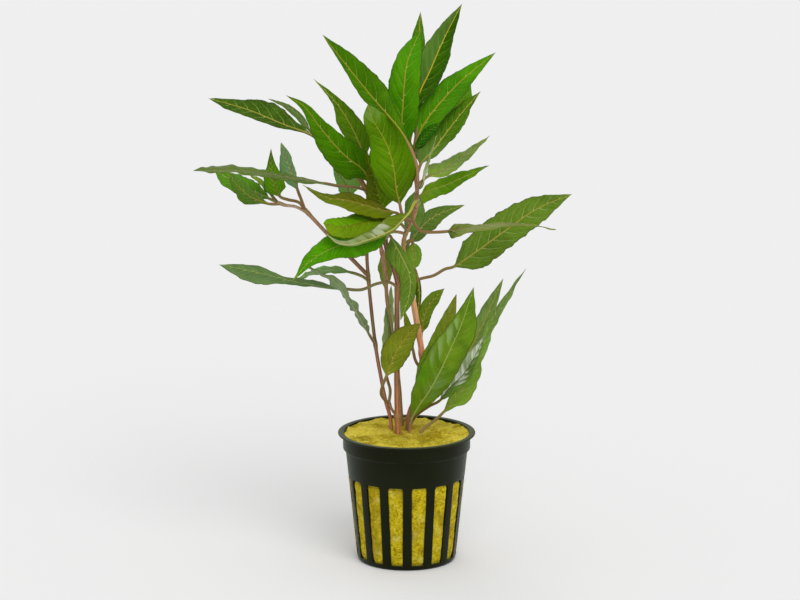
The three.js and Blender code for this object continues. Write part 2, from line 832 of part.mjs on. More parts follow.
function halfWidth(widths, along, bluntness) {
  const places = [0, ...leafMake.widthsAt, 1];
  const values = [0, ...widths, 0];
  const last = places.length - 1;
  const steep = places.slice(1).map((place, i) => (values[i + 1] - values[i]) / (place - places[i]));
  const slopes = [steep[0]];
  for (let i = 1; i < last; i += 1) {
    const product = steep[i - 1] * steep[i];
    slopes.push(product > 0 ? (2 * product) / (steep[i - 1] + steep[i]) : 0);
  }
  slopes.push(bluntness * steep[last - 1]);
  const i = Math.max(0, Math.min(last - 1, places.findIndex((place) => place >= along) - 1));
  const span = places[i + 1] - places[i];
  const t = (along - places[i]) / span;
  const back = 1 - t;
  return back * back * (1 + 2 * t) * values[i] + t * t * (3 - 2 * t) * values[i + 1]
    + span * t * back * (back * slopes[i] - t * slopes[i + 1]);
}

function leafCurve(leaf) {
  const own = [...leaf.stalk, ...leaf.blade].map(vector);
  if (!leaf.on) {
    return { curve: curveThrough(own), start: 0, foot: leaf.stalk.length };
  }
  const [carrier, height] = leaf.on;
  const curve = curveThrough([pointAtHeight(stemCurves[carrier], height), ...own]);
  const start = clearOf(carrier, curve, leafMake.stalkRadius);
  return { curve, start, foot: leaf.stalk.length + 1 };
}

function bladeStart(curve, foot) {
  const fine = 200;
  const lengths = curve.getLengths(fine);
  const index = Math.round((fine * foot) / (curve.points.length - 1));
  return lengths[index] / lengths[fine];
}

// One ring of a leaf is a flat ellipse across the midrib, bent up by the rise and down by the droop

function leafRing(leaf, curve, at, along) {
  const blend = THREE.MathUtils.clamp(along, 0, 1);
  const centre = curve.getPointAt(at);
  const ahead = curve.getTangentAt(at);
  const front = new THREE.Vector3(0, -1, 0).addScaledVector(ahead, ahead.y).normalize();
  const roll = THREE.MathUtils.degToRad(THREE.MathUtils.lerp(leaf.roll[0], leaf.roll[1], blend));
  const up = front.applyAxisAngle(ahead, roll);
  const right = new THREE.Vector3().crossVectors(ahead, up);
  const radius = leaf.radius ?? leafMake.stalkRadius;
  const rise = leaf.rise ?? leafMake.rise;
  const droop = leaf.droop ?? leafMake.droop;
  const bluntness = leaf.bluntness ?? 1;
  const bladeThickness = THREE.MathUtils.lerp(leafMake.thickness, leafMake.tipThickness, blend);
  const fade = Math.max(0, 1 - 4 * blend);
  const thick = bladeThickness + (radius - bladeThickness) * fade;
  const crossing = [[-1, 0], [-0.5, 1], [0, 1], [0.5, 1], [1, 0], [0.5, -1], [0, -1], [-0.5, -1]];
  return crossing.map(([across, side]) => {
    const width = halfWidth(across < 0 ? leaf.left : leaf.right, blend, bluntness);
    const half = Math.max(radius * (1 - blend), width);
    const lift = width * (rise * Math.abs(across) - droop * across * across);
    const skin = side * thick * Math.sqrt(1 - across * across);
    return centre.clone().addScaledVector(right, across * half).addScaledVector(up, lift + skin);
  });
}

function leafGeometry(leaf) {
  const { curve, start, foot } = leafCurve(leaf);
  const base = bladeStart(curve, foot);
  const rings = [];
  const stalkSteps = Math.max(1, leaf.stalk.length);
  for (let i = 0; i < stalkSteps; i += 1) {
    rings.push(leafRing(leaf, curve, start + ((base - start) * i) / stalkSteps, 0));
  }
  for (const along of leafMake.stations) {
    rings.push(leafRing(leaf, curve, base + (1 - base) * along, along));
  }
  const around = rings[0].length;
  const points = [...rings.flat(), curve.getPointAt(1)];
  const apex = points.length - 1;
  const faces = [];
  for (let i = 1; i < around - 1; i += 1) {
    faces.push(0, i + 1, i);
  }
  for (let ring = 0; ring < rings.length - 1; ring += 1) {
    for (let i = 0; i < around; i += 1) {
      const a = ring * around + i;
      const b = ring * around + ((i + 1) % around);
      faces.push(a, b, a + around, b, b + around, a + around);
    }
  }
  const last = (rings.length - 1) * around;
  for (let i = 0; i < around; i += 1) {
    faces.push(last + i, last + ((i + 1) % around), apex);
  }
  const geometry = new THREE.BufferGeometry();
  geometry.setAttribute('position', new THREE.Float32BufferAttribute(points.flatMap((p) => p.toArray()), 3));
  geometry.setIndex(faces);
  geometry.computeVertexNormals();
  return geometry;
}

// Assembly

const plant = new THREE.Group();

function add(name, geometry, material) {
  const mesh = new THREE.Mesh(geometry, material.clone());
  mesh.name = name;
  plant.add(mesh);
}

const standingStems = Object.keys(stems)
  .filter((name) => !stems[name].on)
  .map((name) => ({ curve: stemCurves[name], radius: stems[name].radius }));
const standingLeaves = Object.values(leaves)
  .filter((leaf) => !leaf.on)
  .map((leaf) => ({ curve: leafCurve(leaf).curve, radius: leaf.radius ?? leafMake.stalkRadius }));

add('pot', potGeometry(), plastic);
add('rockwool', woolGeometry([...standingStems, ...standingLeaves]), mineralWool);
for (const name of Object.keys(stems)) {
  add(name, stemGeometry(name), stemSkin);
}
for (const [name, leaf] of Object.entries(leaves)) {
  add(name, leafGeometry(leaf), leafTones[leaf.tone]);
}

export default plant;
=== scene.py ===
import math

import bpy
import numpy as np
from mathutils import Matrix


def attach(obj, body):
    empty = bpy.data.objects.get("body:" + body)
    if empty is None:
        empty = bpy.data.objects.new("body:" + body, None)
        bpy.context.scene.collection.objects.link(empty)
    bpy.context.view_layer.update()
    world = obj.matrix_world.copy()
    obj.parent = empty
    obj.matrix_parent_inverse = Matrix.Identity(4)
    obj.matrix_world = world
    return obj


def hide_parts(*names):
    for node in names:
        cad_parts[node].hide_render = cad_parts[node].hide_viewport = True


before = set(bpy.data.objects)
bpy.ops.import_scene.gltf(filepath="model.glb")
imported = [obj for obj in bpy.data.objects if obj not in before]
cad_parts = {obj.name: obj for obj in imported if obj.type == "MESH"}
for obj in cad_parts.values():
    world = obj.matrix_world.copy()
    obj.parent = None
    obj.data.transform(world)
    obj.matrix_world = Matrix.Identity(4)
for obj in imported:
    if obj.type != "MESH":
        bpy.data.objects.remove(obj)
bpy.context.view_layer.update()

mm = 0.001
fullTurn = 2 * math.pi
front = np.array([0.0, -1.0, 0.0])  # towards the camera

# Grids and curves. Every shape below is worked out in millimetres and scaled when it becomes a mesh.


def smoothStep(low, high, value):  # 0 below low, 1 above high, an S between them
    t = np.clip((value - low) / (high - low), 0, 1)
    return t * t * (3 - 2 * t)


def unit(vectors):  # each row divided by its length
    return vectors / np.maximum(np.linalg.norm(vectors, axis=-1, keepdims=True), 1e-9)


def ringTurns(columns):  # angles of the points of one ring
    return np.linspace(0, fullTurn, columns, endpoint=False)


class Curve:
    # A centripetal Catmull-Rom curve through the points, walked by the length along it.
    # Each span is a cubic whose end slopes follow the square root of the distances to its neighbours.
    def __init__(self, points, perSpan=60):
        given = np.array(points, float)
        padded = np.vstack([2 * given[0] - given[1], given, 2 * given[-1] - given[-2]])
        steps = np.maximum(np.sqrt(np.linalg.norm(np.diff(padded, axis=0), axis=1)), 1e-6)[:, None]
        before, here, there, after = padded[:-3], padded[1:-2], padded[2:-1], padded[3:]
        s0, s1, s2 = steps[:-2], steps[1:-1], steps[2:]
        slopeA = s1 * ((here - before) / s0 - (there - before) / (s0 + s1) + (there - here) / s1)
        slopeB = s1 * ((there - here) / s1 - (after - here) / (s1 + s2) + (after - there) / s2)
        t = np.linspace(0, 1, perSpan, endpoint=False)[None, :, None]
        h, g, a, b = here[:, None], there[:, None], slopeA[:, None], slopeB[:, None]
        body = h + a * t + (3 * (g - h) - 2 * a - b) * t**2 + (2 * (h - g) + a + b) * t**3
        self.dense = np.vstack([body.reshape(-1, 3), given[-1:]])
        gaps = np.linalg.norm(np.diff(self.dense, axis=0), axis=1)
        self.reach = np.concatenate([[0], np.cumsum(gaps)])
        self.length = self.reach[-1]
        self.knots = self.reach[::perSpan]
        self.slopes = unit(np.gradient(self.dense, self.reach, axis=0))

    def at(self, lengths):
        return np.stack([np.interp(lengths, self.reach, self.dense[:, k]) for k in range(3)], -1)

    def along(self, lengths):
        return unit(np.stack([np.interp(lengths, self.reach, self.slopes[:, k]) for k in range(3)], -1))

    def nearest(self, height):  # number of the dense point nearest to a height
        return np.argmin(np.abs(self.dense[:, 2] - height))


def noise(spot, size, seed, octaves):
    # Smooth noise: random heights on a repeating lattice, blended with S-curves, each octave half as
    # large and half as strong as the one before
    cells, shift = 32, 11.3  # cells before it repeats, and how far the octaves are moved apart
    grid = np.random.default_rng(seed).uniform(-1, 1, (cells, cells, cells))
    total = np.zeros(spot.shape[:-1])
    for octave in range(octaves):
        p = spot / size * 2**octave + shift * octave
        cell = np.floor(p).astype(int)
        f = smoothStep(0, 1, p - cell)
        for corner in np.ndindex(2, 2, 2):
            weight = np.prod([f[..., k] if corner[k] else 1 - f[..., k] for k in range(3)], axis=0)
            i, j, k = [(cell[..., axis] + corner[axis]) % cells for axis in range(3)]
            total += 0.5**octave * weight * grid[i, j, k]
    return total


def linked(name, data):  # an object in the scene
    thing = bpy.data.objects.new(name, data)
    bpy.context.scene.collection.objects.link(thing)
    return thing


def meshPiece(name, points, faces, values=None, smooth=True):
    # A mesh object from points in millimetres and faces given as arrays of corners
    mesh = bpy.data.meshes.new(name)
    sets = [np.asarray(f, np.int32) for f in faces]
    corners = np.concatenate([f.ravel() for f in sets])
    sizes = np.concatenate([np.full(len(f), f.shape[1], np.int32) for f in sets])
    starts = np.concatenate([[0], np.cumsum(sizes)[:-1]]).astype(np.int32)
    mesh.vertices.add(len(points))
    mesh.vertices.foreach_set("co", (np.asarray(points, np.float32) * mm).ravel())
    mesh.loops.add(len(corners))
    mesh.loops.foreach_set("vertex_index", corners)
    mesh.polygons.add(len(sizes))
    mesh.polygons.foreach_set("loop_start", starts)
    mesh.polygons.foreach_set("use_smooth", np.full(len(sizes), smooth))
    for key, data in (values or {}).items():
        kind, field = ("FLOAT_VECTOR", "vector") if data.ndim == 2 else ("FLOAT", "value")
        layer = mesh.attributes.new(key, kind, "POINT")
        layer.data.foreach_set(field, data.astype(np.float32).ravel())
    mesh.update(calc_edges=True)
    mesh.validate()
    return linked(name, mesh)


def tubeFaces(rows, columns):
    # Quads between neighbouring rings of a tube whose rings close on themselves
    i, j = np.meshgrid(np.arange(rows - 1), np.arange(columns), indexing="ij")
    a, b = i * columns + j, i * columns + (j + 1) % columns
    return np.stack([a, b, b + columns, a + columns], -1).reshape(-1, 4)


def endFans(rows, columns):
    # Triangles that close a tube's first ring with the point after its rings, and its last with the next
    j = np.arange(columns)
    k, end, centre = (j + 1) % columns, (rows - 1) * columns, np.full(columns, rows * columns)
    return np.vstack([np.stack([k, j, centre], -1), np.stack([end + j, end + k, centre + 1], -1)])


def closedTube(rings):
    # Points and outward faces of a tube: its rings, a fan at the first ring and a fan at the last
    rows, columns, _ = rings.shape
    points = np.vstack([rings.reshape(-1, 3), rings[0].mean(0), rings[-1].mean(0)])
    quads, fans = tubeFaces(rows, columns), endFans(rows, columns)
    triangles = np.vstack([quads[:, [0, 1, 2]], quads[:, [0, 2, 3]], fans])
    a, b, c = [points[triangles[:, corner]] for corner in range(3)]
    if np.einsum("ij,ij->i", a, np.cross(b, c)).sum() < 0:  # its volume is negative: inside out
        quads, fans = quads[:, ::-1], fans[:, ::-1]
    return points, [quads, fans]


def turned(radii, heights, turns):  # rings of a turned surface
    heights = np.broadcast_to(heights, np.broadcast_shapes(np.shape(radii), np.shape(turns)))
    return np.stack([radii * np.cos(turns), radii * np.sin(turns), heights], -1)


def place(piece, node, slot, material):  # into the frame: its body and the node that it replaces; its slot is not used
    piece.data.materials.append(material)
    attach(piece, "root")
    if node:
        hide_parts(node)


# Shader building


class Value:
    # A socket of a node tree, so that sums of sockets are written as sums. Each sum adds a node.
    def __init__(self, tree, socket):
        self.tree, self.socket = tree, socket

    def __add__(self, other):
        return calc("ADD", self, other)

    def __sub__(self, other):
        return calc("SUBTRACT", self, other)

    def __rsub__(self, other):
        return calc("SUBTRACT", other, self)

    def __mul__(self, other):
        return calc("MULTIPLY", self, other)

    def __truediv__(self, other):
        return calc("DIVIDE", self, other)

    def __abs__(self):
        return calc("ABSOLUTE", self)

    def ease(self, low, high, start=0.0, end=1.0):  # smooth ramp from start at low to end at high
        inputs = {"Value": self, 1: low, 2: high, 3: start, 4: end}
        return put(self.tree, "MapRange", inputs, interpolation_type="SMOOTHSTEP")

    def split(self):  # the three parts of a vector
        node = put(self.tree, "SeparateXYZ", {0: self}).socket.node
        return [Value(self.tree, socket) for socket in node.outputs]


def setInputs(node, inputs):  # each input set to a value or joined to a socket
    for key, value in inputs.items():
        if isinstance(value, Value):
            value.tree.links.new(value.socket, node.inputs[key])
        else:
            node.inputs[key].default_value = value


def put(tree, kind, inputs=None, output=0, **settings):  # one node, which gives one of its outputs
    node = tree.nodes.new("ShaderNode" + kind)
    for key, value in settings.items():
        setattr(node, key, value)
    setInputs(node, inputs or {})
    return Value(tree, node.outputs[output])


def treeOf(*values):  # the node tree of the first socket among them
    return next(value.tree for value in values if isinstance(value, Value))


def calc(operation, *values):  # of numbers or sockets
    return put(treeOf(*values), "Math", dict(enumerate(values)), operation=operation)


def colour(tone):
    # A tone read as screen values from 0 to 255, turned into the shader's linear values
    screen = np.array(tone) / 255
    linear = np.where(screen <= 0.04045, screen / 12.92, ((screen + 0.055) / 1.055) ** 2.4)
    return (*[float(v) for v in linear], 1.0)


def blend(amount, first, second, how="MIX"):  # of tones or sockets
    first, second = [v if isinstance(v, Value) else colour(v) for v in (first, second)]
    return put(treeOf(amount, first, second), "Mix", {0: amount, 6: first, 7: second}, 2,
               data_type="RGBA", blend_type=how)


def objectPlace(tree):  # where the shaded point is, in metres
    return put(tree, "TexCoord", output="Object")


def noiseAt(spot, scale, detail=2.0, output="Fac", **more):
    inputs = {"Vector": spot, "Scale": scale, "Detail": detail, **more}
    return put(spot.tree, "TexNoise", inputs, output)


def stretch(spot, scale, turn=0.0):  # scaled, and turned about the upright axis
    inputs = {"Vector": spot, "Scale": scale, "Rotation": (0.0, 0.0, turn)}
    return put(spot.tree, "Mapping", inputs)


def bump(height, strength, distance):
    return put(height.tree, "Bump", {"Strength": strength, "Distance": distance, "Height": height})


def newMaterial(name):
    material = bpy.data.materials.new(name)
    material.use_nodes = True
    tree = material.node_tree
    return material, tree, next(node for node in tree.nodes if node.type == "BSDF_PRINCIPLED")


def newGroup(name, inputs, outputs):  # a node group that takes and gives plain values
    tree = bpy.data.node_groups.new(name, "ShaderNodeTree")
    for side, labels in (("INPUT", inputs), ("OUTPUT", outputs)):
        for label in labels:
            tree.interface.new_socket(label, in_out=side, socket_type="NodeSocketFloat")
    given = tree.nodes.new("NodeGroupInput").outputs
    return tree, [Value(tree, given[label]) for label in inputs], tree.nodes.new("NodeGroupOutput")


def useGroup(tree, group, inputs):  # a node for the group, whose outputs are given by name
    outputs = put(tree, "Group", inputs, node_tree=group).socket.node.outputs
    return {socket.name: Value(tree, socket) for socket in outputs}


def layered(skin, layers):  # each tone laid over what came before it, by its amount
    for amount, tone in layers:
        skin = blend(amount, skin, tone)
    return skin


# The plant's pieces, in millimetres. Stems and stalks start on what carries them.

stemRows = {
    # stem and height that it grows from, radius at some heights, points of the middle line, tones at some heights
    "left_stem": (None, [(46, 0.72), (146, 0.6)],
        [(-5.8, 4.6, 46.3), (-6.3, 5, 55), (-8.3, 5.5, 62.5), (-10.5, 6, 74), (-12, 6, 83), (-14, 5, 101),
        (-15, 4, 113), (-15.5, 5, 122), (-14.5, 6, 133), (-13.5, 7, 146)], [(50, (186, 116, 92)), (78, (150, 96, 68)),
        (88, (104, 78, 46)), (118, (140, 108, 68))]),
    "main_stem": (None, [(46, 1.15), (110, 1.0), (140, 0.75)],
        [(-3.3, 0.7, 46.3), (-3.6, 1, 58), (-3.8, 1, 76), (-3.8, 0, 94), (-3.7, 0, 106), (-3.4, 0, 110),
        (-5, 0, 116.5), (-8, 2, 125), (-9, 4, 134), (-9, 5, 140)], [(50, (180, 114, 70)), (82, (146, 92, 48)),
        (92, (118, 88, 38)), (107, (156, 98, 60)), (120, (110, 66, 44))]),
    "back_stem": (None, [(46, 0.8), (126, 0.7)],
        [(-1.9, 12, 46.3), (-2.2, 13, 55), (-3.2, 13, 69), (-5.8, 12, 89.5), (-7.7, 11, 102), (-8.3, 10.5, 112),
        (-10.5, 10, 126)], [(50, (140, 108, 70)), (90, (112, 124, 56)), (106, (160, 122, 82)),
        (122, (190, 128, 100))]),
    "right_stem": (None, [(46, 0.85), (74, 0.95), (92, 1.2), (104, 1.05), (118, 0.72), (162, 0.6)],
        [(0.2, 6, 46.3), (0.9, 6.5, 56.5), (4.3, 7, 65.5), (6, 7, 79.5), (4.5, 7, 90.5), (2.6, 7, 102), (0.5, 6, 115),
        (-1.1, 4.4, 122.5), (-1.1, 3.4, 127), (0.1, 1.8, 131.5), (1.4, 0.8, 134.5), (2.9, -0.3, 137.8),
        (3.5, -1, 141), (3.8, -1.6, 144.8), (4, -2, 148.5), (3.5, -2.2, 153), (3, -1.5, 158), (2.6, 0, 162.5)],
        [(50, (160, 104, 70)), (70, (208, 140, 104)), (80, (248, 158, 112)), (98, (238, 172, 120)),
        (120, (186, 150, 90)), (135, (190, 140, 92)), (146, (206, 132, 110))]),
    "left_branch": (("left_stem", 113), [(113, 0.8), (140, 0.7)],
        [(-21, 3, 119.5), (-31.5, 1, 131), (-39.5, 0, 140)], [(110, (140, 98, 70)), (140, (168, 130, 96))]),
    "left_twig": (("left_branch", 138.5), [(138, 0.6), (143, 0.55)],
        [(-43, 0.5, 141), (-47, 1, 141.5), (-50, 1.5, 142.5)], [(120, (168, 130, 96)), (150, (200, 172, 142))]),
    "side_shoot": (("main_stem", 57), [(57, 0.55), (63, 0.5)],
        [(-6, 0.5, 60.5), (-7, 1.5, 63)], [(100, (120, 96, 44)), (140, (124, 96, 46))]),
}
leafRows = {
    # stem and height that it grows from, half widths left and right of the midrib, roll in degrees, kind of
    # leaf, tone of the face one sees, points of the midrib on the stalk and on the blade, and what else differs
    # from leafMake, leafKinds and leafFinish
    "leaf_crown_tall": (("right_stem", 161.5), [4.7, 6.1, 4.4], [6.2, 6.2, 5.2], [-5], "bright", (60, 132, 0),
        [(1.6, -1, 162.8)], [(0.6, -2, 165.5), (-1, -3, 170), (-1.8, -3.5, 175.5), (-1.4, -2.5, 181.5), (-1, -1, 188),
        (0.4, 4.5, 197.4), (5.6, 16, 208)]),
    "leaf_crown_back": (("right_stem", 160.5), [3.1, 3.9, 3.1], [3.1, 3.5, 2.7], [0], "dark", (62, 112, 6),
        [(1.2, 4, 166)], [(3.5, 10, 174), (3.5, 18, 186), (4.5, 26, 200.5), (5.5, 32, 213)]),
    "leaf_crown_top": (("right_stem", 162.5), [2.2, 6.2, 4.2], [5, 5.6, 3.4], [20, 10], "dark", (32, 82, 0),
        [(3.6, 1, 170)], [(3.4, 2.5, 178.5), (5, 4.5, 185.2), (8.5, 8, 192), (14.5, 13, 205), (21.5, 17, 218)],
        {"leftSide": (80, 118, 46), "rib": (190, 172, 50)}),
    "leaf_crown_right": (("right_stem", 160.5), [5, 5.5, 3.4], [5, 5.3, 3.4], [-15], "bright", (58, 132, 0),
        [(3.2, 1.5, 163)], [(3.8, 3, 165.5), (5.3, 5, 170), (9, 8, 175.5), (14, 12, 181), (22, 20, 188),
        (35, 28, 197.5)]),
    "leaf_crown_far": (("right_stem", 151.3), [3.9, 3.9, 2.4], [5.4, 5.2, 4.2], [-10, 0], "bright", (86, 148, 16),
        [(4.2, 4, 154), (7, 12, 158.8)], [(10, 18, 163.5), (15, 24, 168), (20, 31, 174), (23, 36, 182),
        (24.5, 38, 187)], {"bluntness": 1.5}),
    "leaf_small_lobe": (("right_stem", 157.5), [1.6, 2, 1.7], [1.8, 2.2, 2], [-10], "dark", (18, 88, 0),
        [], [(3.4, -4, 163.5), (5.6, -5, 167.5), (8.5, -6, 171.5), (12.5, -7.5, 174.8)], {"bluntness": 2.5,
        "rib": (66, 110, 16), "tickStrength": 0.2}),
    "leaf_right_upper": (("right_stem", 153), [4.6, 4.8, 3.5], [2.4, 3.3, 2.2], [-15], "dark", (62, 110, 10),
        [(4.6, 0.5, 155.3)], [(5.2, 2.5, 157), (7, 5, 159), (10, 8, 161.5), (15, 12, 167.5), (21, 17, 174.5),
        (29, 22, 183)], {"leftAt": [0.08, 0.4, 0.7], "foot": (92, 124, 56)}),
    "leaf_edge_on": (("right_stem", 149), [4.4, 3, 1.8], [4.2, 2.2, 1.4], [78, 72], "pale", (150, 174, 96),
        [(5.2, -3.8, 149.3)], [(6.2, -5, 151.5), (7, -6, 156), (8.5, -8, 161.5), (11.5, -11, 171)],
        {"foot": (206, 214, 170)}),
    "leaf_pale_right": (("right_stem", 149.5), [6.3, 3.9, 1.8], [3.8, 3.6, 2], [-62, -50], "pale", (114, 144, 60),
        [(6, 1.5, 151)], [(8, 5, 152), (13.5, 10, 153), (22.5, 18, 158), (33, 28, 164.5)], {"foot": (128, 160, 40)}),
    "leaf_right_low": (("right_stem", 145.5), [3.6, 4, 2.5], [4.8, 4.2, 2.3], [-57, -50], "bright", (86, 136, 0),
        [], [(4.9, -4, 146), (9, -9, 149), (15, -15.5, 152.3), (22, -22.5, 156.8), (31, -30, 162.5)],
        {"leftAt": [0.12, 0.45, 0.7], "rightAt": [0.12, 0.45, 0.7], "rib": (150, 160, 60), "foot": (122, 164, 8)}),
    "leaf_left_top": (("right_stem", 147), [0.6, 3.4, 1.8], [2.7, 6.7, 5], [10, 0], "bright", (58, 112, 0),
        [(4, -9, 149.5), (4.2, -15, 154.5), (3.6, -17.5, 161)], [(1, -18, 168), (-2.2, -17.5, 173.5),
        (-6.5, -15, 178.5), (-13.5, -8, 185.5), (-22, -1, 195), (-32.5, 8, 207)]),
    "leaf_front_big": (("right_stem", 136), [6.2, 8.8, 5.5], [6.6, 9.4, 7.2], [8], "bright", (76, 124, 0),
        [(-0.6, -2.4, 137.2), (-2, -3.8, 139.6)], [(-2.6, -5.5, 142.8), (-4, -8.5, 149.2), (-4.6, -10.5, 155),
        (-5.6, -11.5, 161), (-7.6, -12.5, 167.5), (-10.2, -13.5, 172.5), (-13.2, -15, 178), (-14.8, -16, 183.5)],
        {"bluntness": 2.4, "foot": (74, 104, 2), "count": 8, "paintedSpots": [(0.97, 0.0, 0.16, 1.3, (112, 142, 70), 0.6),
        (0.5, -0.1, 0.2, 0.4, (96, 140, 6), 0.5)]}),
    "leaf_olive_left": (("right_stem", 134), [5.3, 6.4, 3.3], [3.7, 4.4, 2], [62, 55], "olive", (86, 90, 0),
        [(-0.4, -4, 136.4), (-2.2, -5.4, 138.4)], [(-4, -7, 140), (-9, -9.5, 141.2), (-16, -13, 144),
        (-23.5, -18, 147), (-30, -22, 148.5), (-39.5, -27, 154.5)], {"leftSide": (108, 124, 2),
        "tip": (86, 110, 14)}),
    "leaf_spoon": (("right_stem", 131.5), [5, 6.2, 5.2], [1.9, 4.8, 3.4], [50], "olive", (104, 160, 0),
        [(-2.2, -3.6, 135)], [(-4.2, -7.5, 137.4), (-8.5, -10.5, 138.2), (-12.5, -13, 138.5), (-18.5, -19, 138),
        (-24.5, -25, 138), (-31.6, -30.5, 140.4)], {"leftAt": [0.2, 0.5, 0.88], "rightAt": [0.2, 0.5, 0.85],
        "bluntness": 2.2, "ripple": 0.4, "leftSide": (112, 142, 8), "rib": (118, 110, 24)}),
    "leaf_curled_pale": (("right_stem", 144), [0.8, 1, 0.8], [5.2, 3.5, 2.1], [25, 30], "pale", (106, 126, 24),
        [(2.6, -6.8, 143.2)], [(1.2, -9.4, 140.8), (-2.2, -13, 137.6), (-5, -17, 135.6), (-9.5, -23, 134.5),
        (-15, -31, 134), (-21, -37, 133.5), (-26, -41, 135), (-30.5, -43, 139)], {"rise": 0.45, "droop": 0.15,
        "tip": (150, 164, 122), "rib": (186, 180, 104), "stalkTone": (176, 176, 60),
        "paintedSpots": [(0.4, 0.5, 0.13, 0.55, (226, 230, 214), 0.6), (0.62, 0.5, 0.3, 0.7, (166, 180, 134), 0.5)]}),
    "leaf_edge_right": (("right_stem", 140.5), [3.4, 1.5, 1], [4.4, 5.4, 1.9],
        [-48, -66, -78, -78, -78, -78, -78, -78, -78], "pale", (118, 132, 50),
        [(2.2, -5, 140.3), (2.6, -8.5, 137), (5.5, -13, 134), (11.5, -15, 134)], [(15.5, -16, 134.5), (27, -20, 137),
        (37.5, -22, 138.5), (50.5, -27, 138.5), (56.5, -29, 137.5)], {"leftAt": [0.05, 0.4, 0.7],
        "rightAt": [0.05, 0.4, 0.7], "paintedSpots": [(0.02, 0.0, 0.09, 1.6, (36, 62, 8), 1.0)]}),
    "leaf_bright_left": (("right_stem", 130), [6, 7, 3.9], [5.1, 6.2, 4.4], [45, 40], "bright", (82, 164, 0),
        [(-4, -1.5, 131.5)], [(-7, -6, 132), (-17, -15, 131), (-27.5, -25, 130), (-36.5, -32, 126),
        (-43, -36, 119.5)], {"rib": (150, 166, 70), "tip": (56, 124, 0)}),
    "leaf_hanging_front": (("main_stem", 127.5), [1.8, 2.4, 2.2], [5.4, 4.3, 3.8], [0], "green", (92, 126, 38),
        [(-7, -2.5, 130)], [(-6.2, -6.5, 130.6), (-4, -11, 127.5), (-1.4, -14.5, 123.2), (1.1, -17, 117.5),
        (1, -18, 110), (-2.5, -17, 99.8)]),
    "leaf_narrow_upright": (("main_stem", 136.5), [5.4, 4.4, 1.6], [7.5, 6.6, 2.2], [25], "dark", (96, 142, 0),
        [], [(-9.2, 0.5, 139.8), (-10.6, -1, 144.5), (-12.2, -4, 151.5), (-14.6, -7, 158.5), (-15.5, -9, 165.3)],
        {"rightAt": [0.09, 0.4, 0.7], "leftSide": (82, 88, 2), "rib": (122, 134, 20)}),
    "leaf_left_long_low": (("main_stem", 108.5), [1, 2.7, 5.7], [4.4, 1.9, 3.1], [85, 35], "pale", (98, 130, 78),
        [(-5, -3, 111), (-7.5, -5.5, 112.5), (-12, -7, 112), (-17.5, -8, 110)], [(-25, -8.5, 110.5),
        (-32.5, -10, 111.5), (-44, -12, 114), (-55.5, -14, 117.5), (-72, -16, 121.5)], {"rib": (140, 156, 84)}),
    "leaf_back_hanging": (("back_stem", 121), [3.2, 3.2, 2.4], [1.6, 2.9, 2], [20], "dark", (124, 152, 54),
        [], [(-9.2, 13, 121), (-8.5, 14, 113), (-8.5, 14, 105)]),
    "leaf_low_back": (("back_stem", 51.5), [2.4, 3.6, 3.2], [2.4, 3.2, 2.6], [0], "dark", (122, 152, 76),
        [(2, 14, 55), (7.5, 14.5, 59.5)], [(13.5, 15, 63.5), (21, 17, 73), (29, 20, 87.5), (38.5, 24, 108)]),
    "leaf_grey_back": (("left_stem", 136), [3.6, 3.1, 1.8], [5.5, 4.7, 2.4], [20, 0], "pale", (122, 178, 82),
        [(-17.5, 10, 139.5)], [(-21.5, 13, 142.5), (-24, 15, 147.5), (-27, 17, 151.5), (-29, 19, 155)]),
    "leaf_mid_left": (("left_stem", 146), [6.9, 6, 2.8], [6.2, 4.6, 2.4], [10, 5], "bright", (64, 122, 0),
        [(-14.2, 5, 147)], [(-14.6, 4.4, 149.5), (-16.6, 3, 154.6), (-24, -1, 161.5), (-33, -7, 173),
        (-39, -11.5, 182), (-46, -15, 187)]),
    "leaf_dark_left": (("left_stem", 145), [4.5, 4.5, 1.2], [5.4, 4, 2], [20], "dark", (86, 132, 12),
        [(-13.5, 9.5, 150)], [(-16, 10, 158), (-21, 9, 170), (-27, 8, 180), (-36, 7, 190)]),
    "leaf_far_left": (("left_stem", 142), [1.4, 3.2, 3.2], [3.6, 7.2, 3.8], [45, 40], "dark", (52, 88, 12),
        [(-20, 11, 151.5), (-30, 13, 161.5)], [(-36.5, 14, 166.5), (-48, 17, 170.5), (-61.5, 21, 175.5),
        (-78, 26, 179.5)], {"vein": (140, 172, 80), "veinStrength": 1.0, "tickStrength": 1.0}),
    "leaf_thin_left": (("left_stem", 143.5), [2.4, 2.6, 1.5], [2.2, 2.1, 1.3], [62], "pale", (78, 116, 44),
        [(-20, 7.5, 154), (-31.5, 6.5, 165)], [(-37, 6, 169.5), (-42, 5, 176), (-47, 4, 180), (-53.5, 2, 183)],
        {"ripple": 0.1}),
    "leaf_long_left": (("left_stem", 144.5), [4.5, 5.2, 3.5], [2.9, 3.1, 5], [80], "pale", (84, 110, 34),
        [(-17, 2.5, 147.5), (-21, -1, 149), (-26.5, -4, 150)], [(-31.5, -7, 151.5), (-44.5, -12, 154.5),
        (-61.5, -17, 158), (-81, -22, 159)], {"bluntness": 3, "ripple": 0.5, "waves": 4.5, "scallop": 0.1,
        "veins": 4}),
    "leaf_pale_upright": (("left_branch", 139.8), [3.7, 4.9, 2.9], [1.1, 1.8, 2], [-20], "pale", (100, 138, 92),
        [(-41, -2, 145)], [(-42, -3, 148), (-43, -3, 152), (-45.4, -1, 158), (-48.5, 2, 166)]),
    "leaf_left_lower": (("left_twig", 142), [1.7, 5.1, 3.4], [2.7, 3.7, 3.2], [53], "bright", (86, 130, 34),
        [], [(-53, 1, 142), (-57, 0.2, 143.3), (-61, -1, 145.5), (-66, -4, 151), (-68.5, -7, 156)],
        {"foot": (96, 120, 54)}),
    "leaf_left_back": (("left_twig", 141.8), [3.2, 5.1, 4.8], [2.8, 4.7, 3.8], [50], "green", (76, 134, 20),
